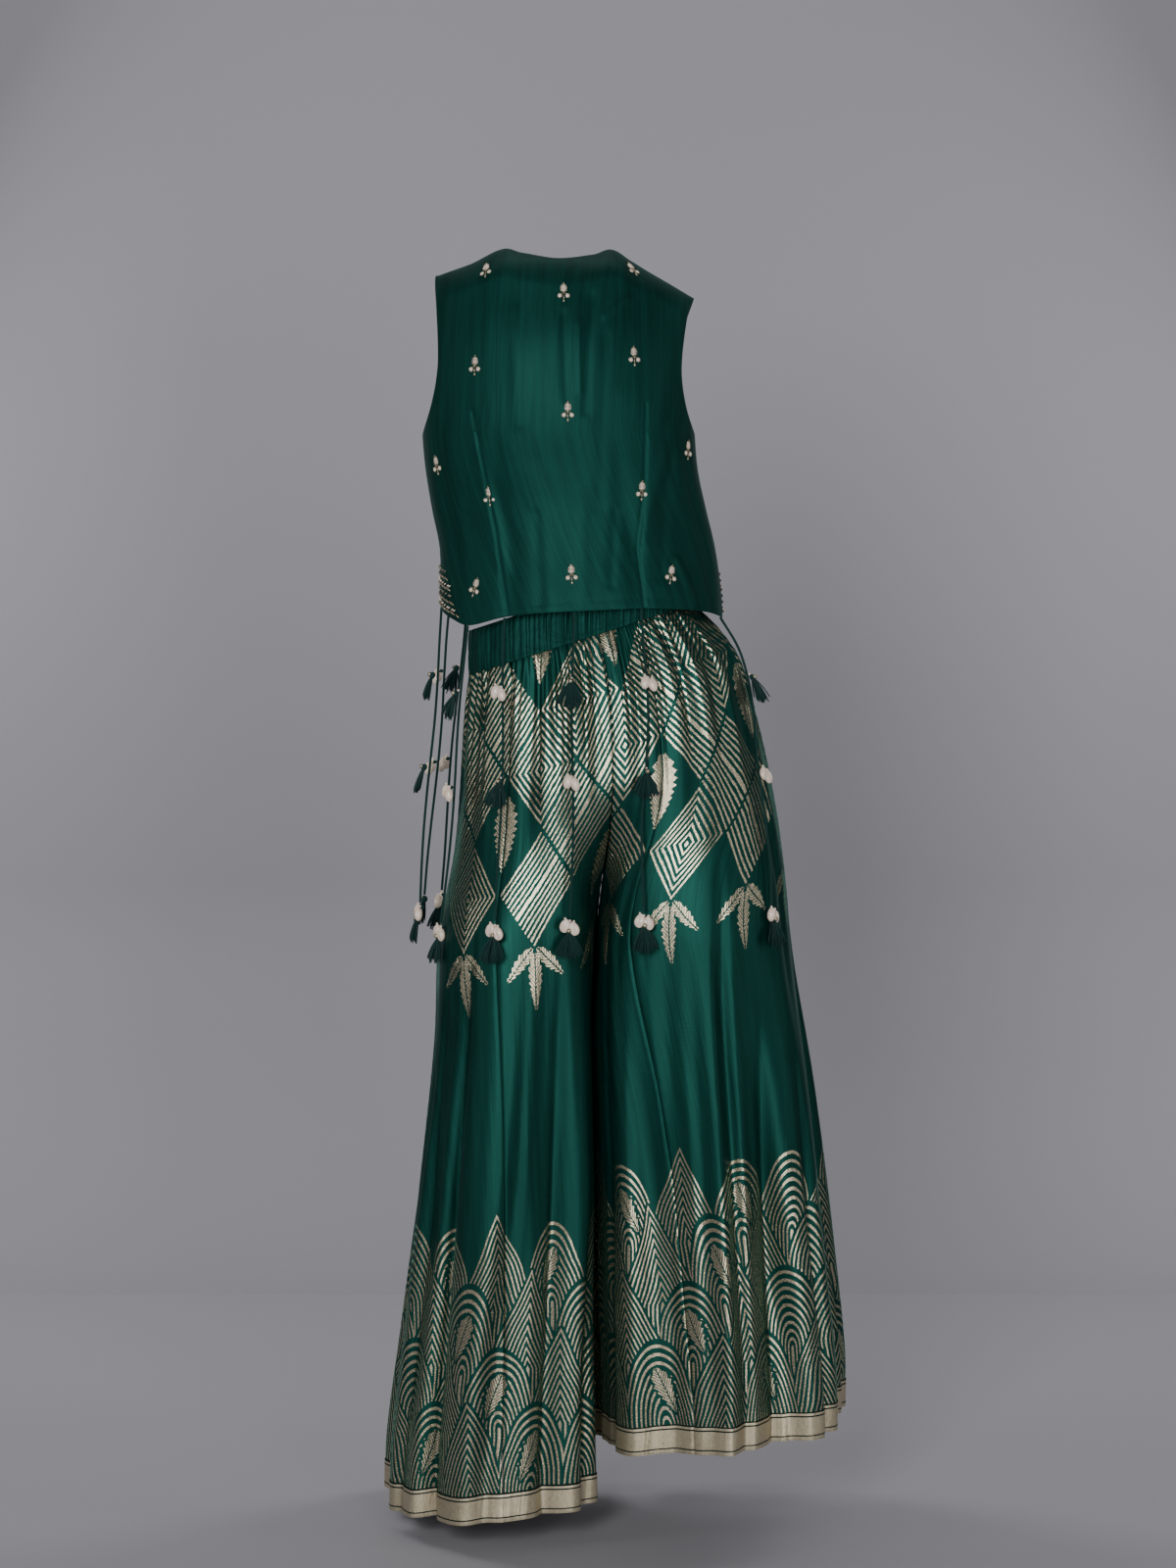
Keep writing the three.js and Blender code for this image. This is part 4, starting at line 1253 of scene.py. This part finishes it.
def band_points(columns, rows):
    """The waistband: uneven gathers between two rows of stitching over the elastic."""
    rng = np.random.default_rng(3)
    angle = np.linspace(0, TAU, columns, endpoint=False)[None, :]
    _, left, right, middle, back, front = LEG_TABLE[0]
    sideways = np.cos(angle)
    reach = np.where(sideways < 0, middle - left, right - middle)
    depth = np.where(np.sin(angle) < 0, back, front)
    radius = oval_radius(angle, reach, depth, OVAL_POWER)
    t = np.linspace(0, 1, rows)[:, None]
    wave = 0
    for i in range(BAND_GATHERS):
        spot = (i + rng.uniform(0.15, 0.85)) * TAU / BAND_GATHERS
        size, width = rng.uniform(0.7, 2.3), rng.uniform(0.009, 0.016)
        lean, middle_t = rng.uniform(-0.02, 0.02), rng.uniform(0.3, 0.7)
        d = np.arctan2(np.sin(angle - spot - lean * t), np.cos(angle - spot - lean * t)) / width
        wave = wave - size * np.exp(-d * d) * np.exp(-(((t - middle_t) / 0.75) ** 2))
    casing = -1.1 * sum(np.exp(-(((t - height) / 0.025) ** 2)) for height in STITCHING)
    casing = casing - 0.8 * np.exp(-(((t - 0.5) / 0.03) ** 2))
    swell = 1.5 * np.sin(t * math.pi)
    grown = (radius + 0.6 + wave + casing + swell * 0.4) / radius
    x = middle + radius * grown * sideways
    y = radius * grown * np.sin(angle)
    z = WAIST_LEVEL + WAIST_SLOPE * x + BAND_HEIGHT * t
    return np.stack([x, y, z + 0 * angle], axis=-1)


class SUIT_OT_waistband(bpy.types.Operator):
    """Make the gathered waistband"""

    bl_idname = "suit.waistband"
    bl_label = "Waistband"

    def execute(self, context):
        points = band_points(*BAND_GRID)
        cut = np.stack([grid_lengths(points, 1), grid_lengths(points, 0)], axis=-1)
        mesh = grid_mesh("waistband_cloth", points, {"cut": cut}, True)
        thickness = context.scene.suit_sizes.band_cloth
        make_cloth("waistband", mesh, "green_gathered_silk", thickness, 1.0, points, held="gathered")
        return {"FINISHED"}


LEG_ROWS = 136
# name and columns
PANELS = [("back_outer", 112), ("back_inner", 104), ("front", 150)]


def leg_panel_points(leg, part, columns):
    """A panel's points and normals, with its seams drawn in a little."""
    v = leg_rows(LEG_ROWS)
    place = leg_lines(leg, part, v, columns)
    points = leg_point(leg, place, v[:, None] + 0 * place, True)
    from_edge = np.minimum(grid_lengths(points, 1), grid_lengths(points[:, ::-1], 1)[:, ::-1])
    normals = grid_normals(points) * leg["sign"]
    middle = points.mean(axis=1, keepdims=True) * [1, 0, 0] + points * [0, 0, 1]
    if np.sum((points - middle) * normals) < 0:
        normals = -normals
    pucker = 0.25 * np.sin(grid_lengths(points, 0) * 0.35) * np.exp(-((from_edge / 7) ** 2))
    push = -1.1 * np.exp(-((from_edge / 2.2) ** 2)) + pucker
    return points + normals * push[..., None], normals


class SUIT_OT_legs(bpy.types.Operator):
    """Make the six trouser panels"""

    bl_idname = "suit.legs"
    bl_label = "Trouser legs"

    def execute(self, context):
        sizes = context.scene.suit_sizes
        for name, leg in LEGS.items():
            for part, columns in PANELS:
                points, normals = leg_panel_points(leg, part, columns)
                across, down = grid_lengths(points, 1), grid_lengths(points, 0)
                if part == "back_outer":
                    across = across - across[:, -1:]
                elif part == "front":
                    across = across - across[:, -1:] / 2
                mesh = grid_mesh(f"{name}_{part}_cloth", points, cut_and_hem(across, down))
                make_cloth(
                    f"{name}_{part}",
                    mesh,
                    "green_brocade",
                    sizes.leg_cloth,
                    self.inward(points, normals),
                    points,
                    held="gathered",
                    rests_on=["waistband"],
                )
        return {"FINISHED"}

    @staticmethod
    def inward(points, normals):
        """Which side of the mesh's own faces the thickness goes to."""
        a = points[1, 0] - points[0, 0]
        b = points[0, 1] - points[0, 0]
        return -1.0 if np.dot(np.cross(a, b), normals[0, 0]) > 0 else 1.0


class SUIT_OT_borders(bpy.types.Operator):
    """Make the gold borders on the hems"""

    bl_idname = "suit.borders"
    bl_label = "Hem borders"

    def execute(self, context):
        for name, leg in LEGS.items():
            parts = []
            for part in ("front", "back_outer", "back_inner"):
                columns = dict(PANELS)[part]
                points, normals = leg_panel_points(leg, part, columns)
                parts.append((points + normals * SEAM_GAP)[-BORDER_ROWS:])
            points = np.concatenate(parts, axis=1)
            across, down = grid_lengths(points, 1), grid_lengths(points, 0)
            mesh = grid_mesh(f"{name}_hem_border_cloth", points, cut_and_hem(across, down), True)
            make_cloth(
                f"{name}_hem_border",
                mesh,
                "gold_tissue",
                context.scene.suit_sizes.border_cloth,
                -1.0 * leg["sign"],
                points,
                held="hung",
                rests_on=[f"{name}_front_cloth"],
            )
        return {"FINISHED"}


def unit(vector):
    return vector / max(np.linalg.norm(vector), 1e-9)


def cowrie_shape(local):
    """A small shell: flat in front with a toothed slit along it."""
    x, y, z = local
    front = max(0.0, y)
    slit = math.exp(-((x / 0.16) ** 2)) * front * smooth(1.0, 0.75, abs(z))
    teeth = 0.05 * math.sin(z * 30) * math.exp(-((abs(x) - 0.22) / 0.12) ** 2) * front
    narrow = 1 - 0.14 * z
    return np.array([x * narrow, y * (0.8 if y > 0 else 1.0) - 0.5 * slit + teeth, z])


TASSEL_HEAD = (3.9, 3.9, 4.3)
GILT_BEAD = 2.7


def add_tassel(form, rng, centre, outward, down, length, threads):
    """A bound head with a gilt bead, and threads that fan out and hang."""
    across = unit(np.cross(outward, down))
    axes = np.array([across, outward, -down])
    form.ball(centre, axes * np.array(TASSEL_HEAD)[:, None], 0, 8, 10)
    form.ball(centre + outward * 3.4 - down * 1.2, axes * GILT_BEAD, 2, 8, 10)
    for i in range(threads):
        fan = lerp(-1, 1, (i + rng.uniform(0.1, 0.9)) / threads)
        front = rng.uniform(0.05, 1.0)
        reach = length * rng.uniform(0.86, 1.04)
        root = centre + across * fan * 2.6 + outward * (2.4 * front - 0.6) + down * 1.6
        tip = centre + across * fan * length * 0.5 + outward * (1.5 + 8.5 * front)
        tip = tip + down * reach * (0.96 - 0.18 * fan * fan)
        bend = lerp(root, tip, 0.5) + across * fan * 2.6 + outward * (1.6 * front) - down * 1.2
        t = np.linspace(0, 1, 5)[:, None]
        path = (1 - t) ** 2 * root + 2 * t * (1 - t) * bend + t * t * tip
        form.tube(path, np.array([0.5, 0.62, 0.68, 0.66, 0.5]), 0, 4)


class SUIT_OT_cords(bpy.types.Operator):
    """Make the hanging cords with their beads, shells and tassels"""

    bl_idname = "suit.cords"
    bl_label = "Cords and tassels"

    def execute(self, context):
        sizes = context.scene.suit_sizes
        samples = leg_samples()
        rng = np.random.default_rng(41)
        for name, degrees, end_x, end_y, *kinds in CORDS:
            route = cord_route(degrees, end_x, end_y, samples, CORD_POINTS)
            cord = self.make_cord(name, route, sizes.cord_radius)
            middle = route[int(0.7 * (len(route) - 1))]
            outward = unit(np.array([middle[0] - REST_CENTRE, middle[1] * 1.5, 0]))
            for (level, distance), kind in zip(LEVELS, kinds):
                place = self.hanging_place(route, level, distance, outward)
                node = f"{kind}_{name}_{level}"
                self.make_ornament(node, kind, place, rng, sizes.tassel_threads)
        return {"FINISHED"}

    @staticmethod
    def make_cord(name, route, radius):
        curve = bpy.data.curves.new(f"cord_{name}_line", "CURVE")
        curve.dimensions = "3D"
        curve.bevel_depth = radius
        curve.bevel_resolution = 3
        curve.use_fill_caps = True
        spline = curve.splines.new("POLY")
        spline.points.add(len(route) - 1)
        for point, at in zip(spline.points, route):
            point.co = (*(at * MM), 1.0)
        curve.materials.append(finish_named("green_cord"))
        item = new_object(f"cord_{name}_line", curve)
        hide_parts(f"cord_{name}")
        return item

    @staticmethod
    def hanging_place(route, level, distance, outward):
        """Where an ornament hangs: whether at the cord's end, its centre, outward and down."""
        at_end = level == "end"
        last = len(route) - 1
        index = min(last, int(round(distance / CORD_LENGTH * last)))
        if at_end:
            down = np.array([0.0, 0, -1])
            return at_end, route[index] + down * (BEAD_RADIUS + SEAM_GAP), outward, down
        down = unit(route[index + 1] - route[index - 1])
        return at_end, route[index] + outward * (BEAD_RADIUS + CORD_REACH + SEAM_GAP), outward, down

    @staticmethod
    def make_ornament(node, kind, place, rng, threads):
        """A tassel, or two pearls or shells, which carry a tassel at a cord's end."""
        at_end, centre, outward, down = place
        across = unit(np.cross(outward, down))
        axes = np.array([across, outward, -down])
        form = Form()
        if kind == "tassel":
            add_tassel(form, rng, centre, outward, down, TASSEL_LENGTH, threads)
            if not at_end:
                form.ball(centre - outward * 3.2 - down * 4.2, axes * 1.5, 3, 6, 8)
        else:
            form.ball(centre, axes * 1.9, 3, 6, 8)
            form.ball(centre - outward * 2.2 + down * 0.5, axes * [[2.2], [3.0], [2.2]], 0, 6, 8)
            size = np.array(PEARL_SIZE if kind == "pearls" else COWRIE_SIZE)[:, None]
            for way, lower in ((-1, 0.0), (1, 3.2)):
                lean = Matrix.Rotation(way * 0.26, 3, Vector(outward))
                turned = np.array([tuple(lean @ Vector(axis)) for axis in axes])
                at = centre + across * way * size[0, 0] * 0.8 + outward * 2.5 + down * (5.5 + lower)
                if kind == "pearls":
                    form.ball(at, turned * size, 1, 12, 16)
                else:
                    form.ball(at, turned * size, 1, 22, 28, cowrie_shape)
                form.ball(at - down * (size[2, 0] + 0.6) * 0.98, axes * 1.5, 3, 6, 8)
        if at_end and kind != "tassel":
            start = centre + outward * 2.5 + down * 12
            add_tassel(form, rng, start, outward, down, END_TASSEL_LENGTH, threads)
        label = f"{node}_detail"
        bead = "ivory_pearl" if kind == "pearls" else "ivory_shell"
        finishes = [finish_named(finish) for finish in ("green_thread", bead, "gilt", "ivory_pearl")]
        item = new_object(label, form.make(label, finishes))
        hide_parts(node)
        return item


# x and height of each motif on the back in mm, and its lean in degrees
BACK_MOTIFS = [
    (-128, 381, 18),
    (46, 384, -6),
    (-35, 351, 0),
    (-140, 266, 0),
    (47, 277, 2),
    (-31, 212, 0),
    (-123, 112, 4),
    (56, 121, -3),
    (-140, 5, -16),
    (-27, 20, 3),
    (91, 22, -14),
    (-186, 152, 8),
    (112, 170, -6),
]
FRONT_MOTIFS = [
    (-130, 330, 12),
    (46, 330, -8),
    (-140, 240, 0),
    (50, 240, 2),
    (-43, 200, 0),
    (-125, 120, 3),
    (45, 120, -3),
    (-43, 60, 0),
    (-150, 50, -5),
    (80, 55, 8),
]


BAND_ROWS = 8
BAND_STEP = 6.5
PEARL_ROWS = (1, 5)
BUD_STITCHES = 9
BUD_HALF_WIDTH = 4.1
BUD_HALF_HEIGHT = 6.2
ROUND_LEAF = (2.3, 1.2, 2.3)
LEAF_BEADS = 10


def surface_frame(points, normals, x, z):
    """The point of a grid nearest to a place in the elevation, with its axes."""
    distance = (points[..., 0] - x) ** 2 + (points[..., 2] - z) ** 2
    j, i = np.unravel_index(np.argmin(distance), distance.shape)
    normal = unit(normals[j, i])
    up = unit(np.array([0, 0, 1.0]) - normal * normal[2])
    return points[j, i], np.array([np.cross(up, normal), normal, up])


class SUIT_OT_embroidery(bpy.types.Operator):
    """Make the small raised motifs on the top and the stitched band on the front's hem"""

    bl_idname = "suit.embroidery"
    bl_label = "Embroidery"

    def execute(self, context):
        for side, name, motifs in ((1, "top_back", BACK_MOTIFS), (-1, "top_front", FRONT_MOTIFS)):
            points, normals = top_grid(side, *TOP_GRID[side])
            form = Form()
            for x, z, lean in motifs:
                at, axes = surface_frame(points, normals, x, z)
                turn = Matrix.Rotation(math.radians(lean), 3, Vector(axes[1]))
                axes = np.array([tuple(turn @ Vector(axis)) for axis in axes])
                self.add_motif(form, at, axes)
            if side < 0:
                self.add_band(form, points, normals)
            label = f"{name}_motifs"
            finishes = [finish_named("gilt"), finish_named("ivory_pearl")]
            item = new_object(label, form.make(label, finishes))
        return {"FINISHED"}

    @staticmethod
    def add_band(form, points, normals):
        """Rows of slanting stitches along the front's hem."""
        across, down = grid_lengths(points, 1), grid_lengths(points, 0)
        above_hem = (down[-1:] - down).mean(axis=1)
        for row in range(BAND_ROWS):
            j = int(np.argmin(np.abs(above_hem - BAND_STEP * (row + 1))))
            for place in np.arange(6, across[j, -1] - 6, BAND_STEP):
                i = int(np.argmin(np.abs(across[j] - place)))
                along = unit(points[j, i + 1] - points[j, i - 1])
                up = unit(points[j - 1, i] - points[j + 1, i])
                lean = along * 2.6 + up * (1.8 if row % 2 else -1.8)
                middle = points[j, i] + normals[j, i] * 0.9
                ends = [middle - lean, middle + normals[j, i] * 0.6, middle + lean]
                form.tube(ends, np.array([0.5, 1.1, 0.5]), 1 if row in PEARL_ROWS else 0, 4)

    @staticmethod
    def add_motif(form, at, axes):
        """A satin-stitched bud over two round leaves and a stem."""
        across, out, up = axes
        for i in range(BUD_STITCHES):
            t = lerp(-1, 1, i / (BUD_STITCHES - 1))
            wide = BUD_HALF_WIDTH * math.sqrt(max(0.05, 1 - t * t)) * (1 - 0.18 * t)
            middle = at + up * (6.5 + BUD_HALF_HEIGHT * t) + out * 0.6
            ends = [middle - across * wide, middle + out * 0.5, middle + across * wide]
            form.tube(ends, np.array([0.35, 0.85, 0.35]), 1 if 1 < i < 7 else 0, 5)
        for way in (-1, 1):
            centre = at + across * way * 4.6 - up * 3.2 + out * 0.8
            form.ball(centre, axes * np.array(ROUND_LEAF)[:, None], 1, 8, 12)
            for k in range(LEAF_BEADS):
                angle = TAU * k / LEAF_BEADS
                rim = centre + (across * math.cos(angle) + up * math.sin(angle)) * 2.6 - out * 0.3
                form.ball(rim, axes * 0.62, 0, 4, 6)
            bend = [at + up * 0.5 + out * 0.5, at + across * way * 2.4 - up * 0.3 + out * 0.6, centre]
            form.tube(bend, 0.5, 0, 5)
        form.tube([at + out * 0.5, at - up * 4.5 + out * 0.6, at - up * 7.5 + out * 0.5], 0.6, 0, 5)
        form.ball(at - up * 9.2 + out * 0.6, axes * [[1.3], [0.9], [2.0]], 0, 6, 8)


# the stage, in millimetres
FLOOR_LEVEL = -1109
STAGE_REACH = 9000
WALL_PLACE = 1850
WALL_HEIGHT = 5000
WALL_BEND = 600
# the camera, in metres and millimetres of film
CAMERA_PLACE = (-0.030, -4.0, -0.002)
LENS = 76.2
FILM_WIDTH = 36
LENS_SHIFT = (0.0125, -0.1206)
AIR_COLOUR = (0.9, 0.92, 1.0, 1)
AIR_STRENGTH = 0.055
# name, place, width and height, power, what it faces
LIGHTS = [
    ("light_key", (-1.0, -4.3, 0.9), (1.2, 1.5), 138, (0, 0, -0.25)),
    ("light_fill", (1.4, -4.1, -0.4), (1.0, 1.5), 60, (0, 0, -0.35)),
    ("light_left", (-2.9, -1.2, 0.3), (0.7, 2.2), 12, (0, 0, -0.3)),
    ("light_right", (2.9, -1.1, 0.3), (0.7, 2.2), 12, (0, 0, -0.3)),
    ("light_front_left", (-1.6, 1.2, 0.7), (0.7, 1.4), 26, (0, 0.1, -0.3)),
    ("light_front_right", (1.6, 1.2, 0.7), (0.7, 1.4), 22, (0, 0.1, -0.3)),
    ("light_backdrop", (0.0, 0.6, 2.8), (2.4, 1.0), 18, (0, 1.85, 0.2)),
]


class SUIT_OT_stage(bpy.types.Operator):
    """Make the floor, the backdrop, the lights and the camera"""

    bl_idname = "suit.stage"
    bl_label = "Stage"

    def execute(self, context):
        turns = np.linspace(0, math.pi / 2, 16)
        bend_start = WALL_PLACE - WALL_BEND
        bend_foot = FLOOR_LEVEL + 1
        bend = [
            (bend_start + WALL_BEND * math.sin(a), bend_foot + WALL_BEND * (1 - math.cos(a)))
            for a in turns
        ]
        ground = [(-STAGE_REACH, FLOOR_LEVEL), (STAGE_REACH, FLOOR_LEVEL)]
        for name, finish, profile in (
            ("floor", "floor_paint", ground),
            ("backdrop", "wall_paint", [*bend, (WALL_PLACE, WALL_HEIGHT)]),
        ):
            item = new_object(name, grid_mesh(name, self.strip(profile)), None)
            item.data.materials.append(finish_named(finish))
        for light in LIGHTS:
            self.add_light(context, *light)
        world = bpy.data.worlds.new("studio_air")
        world.use_nodes = True
        world.node_tree.nodes["Background"].inputs["Color"].default_value = AIR_COLOUR
        world.node_tree.nodes["Background"].inputs["Strength"].default_value = AIR_STRENGTH
        context.scene.world = world
        lens = bpy.data.cameras.new("camera")
        lens.lens = LENS
        lens.sensor_width = FILM_WIDTH
        lens.shift_x, lens.shift_y = LENS_SHIFT
        camera = bpy.data.objects.new("camera", lens)
        camera.location = CAMERA_PLACE
        camera.rotation_euler = (math.radians(90), 0, 0)
        context.scene.collection.objects.link(camera)
        context.scene.camera = camera
        return {"FINISHED"}

    @staticmethod
    def strip(profile):
        """A wide surface from its profile of y and z."""
        rows = [[(x, y, z) for x in (STAGE_REACH, 0, -STAGE_REACH)] for y, z in profile]
        return np.array(rows, float)

    @staticmethod
    def add_light(context, name, at, size, power, towards):
        light = bpy.data.lights.new(name, "AREA")
        light.shape = "RECTANGLE"
        light.size, light.size_y = size
        light.energy = power
        item = bpy.data.objects.new(name, light)
        item.location = at
        way = Vector(towards) - Vector(at)
        item.rotation_euler = way.to_track_quat("-Z", "Y").to_euler()
        # the front's lights would make bright rims that the photograph lacks
        item.visible_glossy = not name.startswith("light_front")
        context.scene.collection.objects.link(item)


OPERATORS = (
    SUIT_OT_finishes,
    SUIT_OT_stage,
    SUIT_OT_cords,
    SUIT_OT_top,
    SUIT_OT_waistband,
    SUIT_OT_legs,
    SUIT_OT_borders,
    SUIT_OT_embroidery,
)


class SUIT_PT_panel(bpy.types.Panel):
    """Buttons and sizes of the suit"""

    bl_idname = "SUIT_PT_panel"
    bl_label = "Palazzo suit"
    bl_space_type = "VIEW_3D"
    bl_region_type = "UI"
    bl_category = "Suit"

    def draw(self, context):
        for group in (context.scene.suit_sizes, context.scene.suit_colours):
            box = self.layout.box()
            for name in group.bl_rna.properties.keys():
                if name not in ("rna_type", "name"):
                    box.prop(group, name)
        for operator in OPERATORS:
            self.layout.operator(operator.bl_idname)


CLASSES = (SuitSizes, SuitColours, *OPERATORS, SUIT_PT_panel)


def register():
    for item in CLASSES:
        bpy.utils.register_class(item)
    bpy.types.Scene.suit_sizes = bpy.props.PointerProperty(type=SuitSizes)
    bpy.types.Scene.suit_colours = bpy.props.PointerProperty(type=SuitColours)


def unregister():
    del bpy.types.Scene.suit_colours
    del bpy.types.Scene.suit_sizes
    for item in reversed(CLASSES):
        bpy.utils.unregister_class(item)


def main():
    register()
    bpy.ops.suit.finishes()
    bpy.ops.suit.stage()
    bpy.ops.suit.cords()
    bpy.ops.suit.top()
    bpy.ops.suit.waistband()
    bpy.ops.suit.legs()
    bpy.ops.suit.borders()
    bpy.ops.suit.embroidery()


if __name__ == "__main__":
    main()
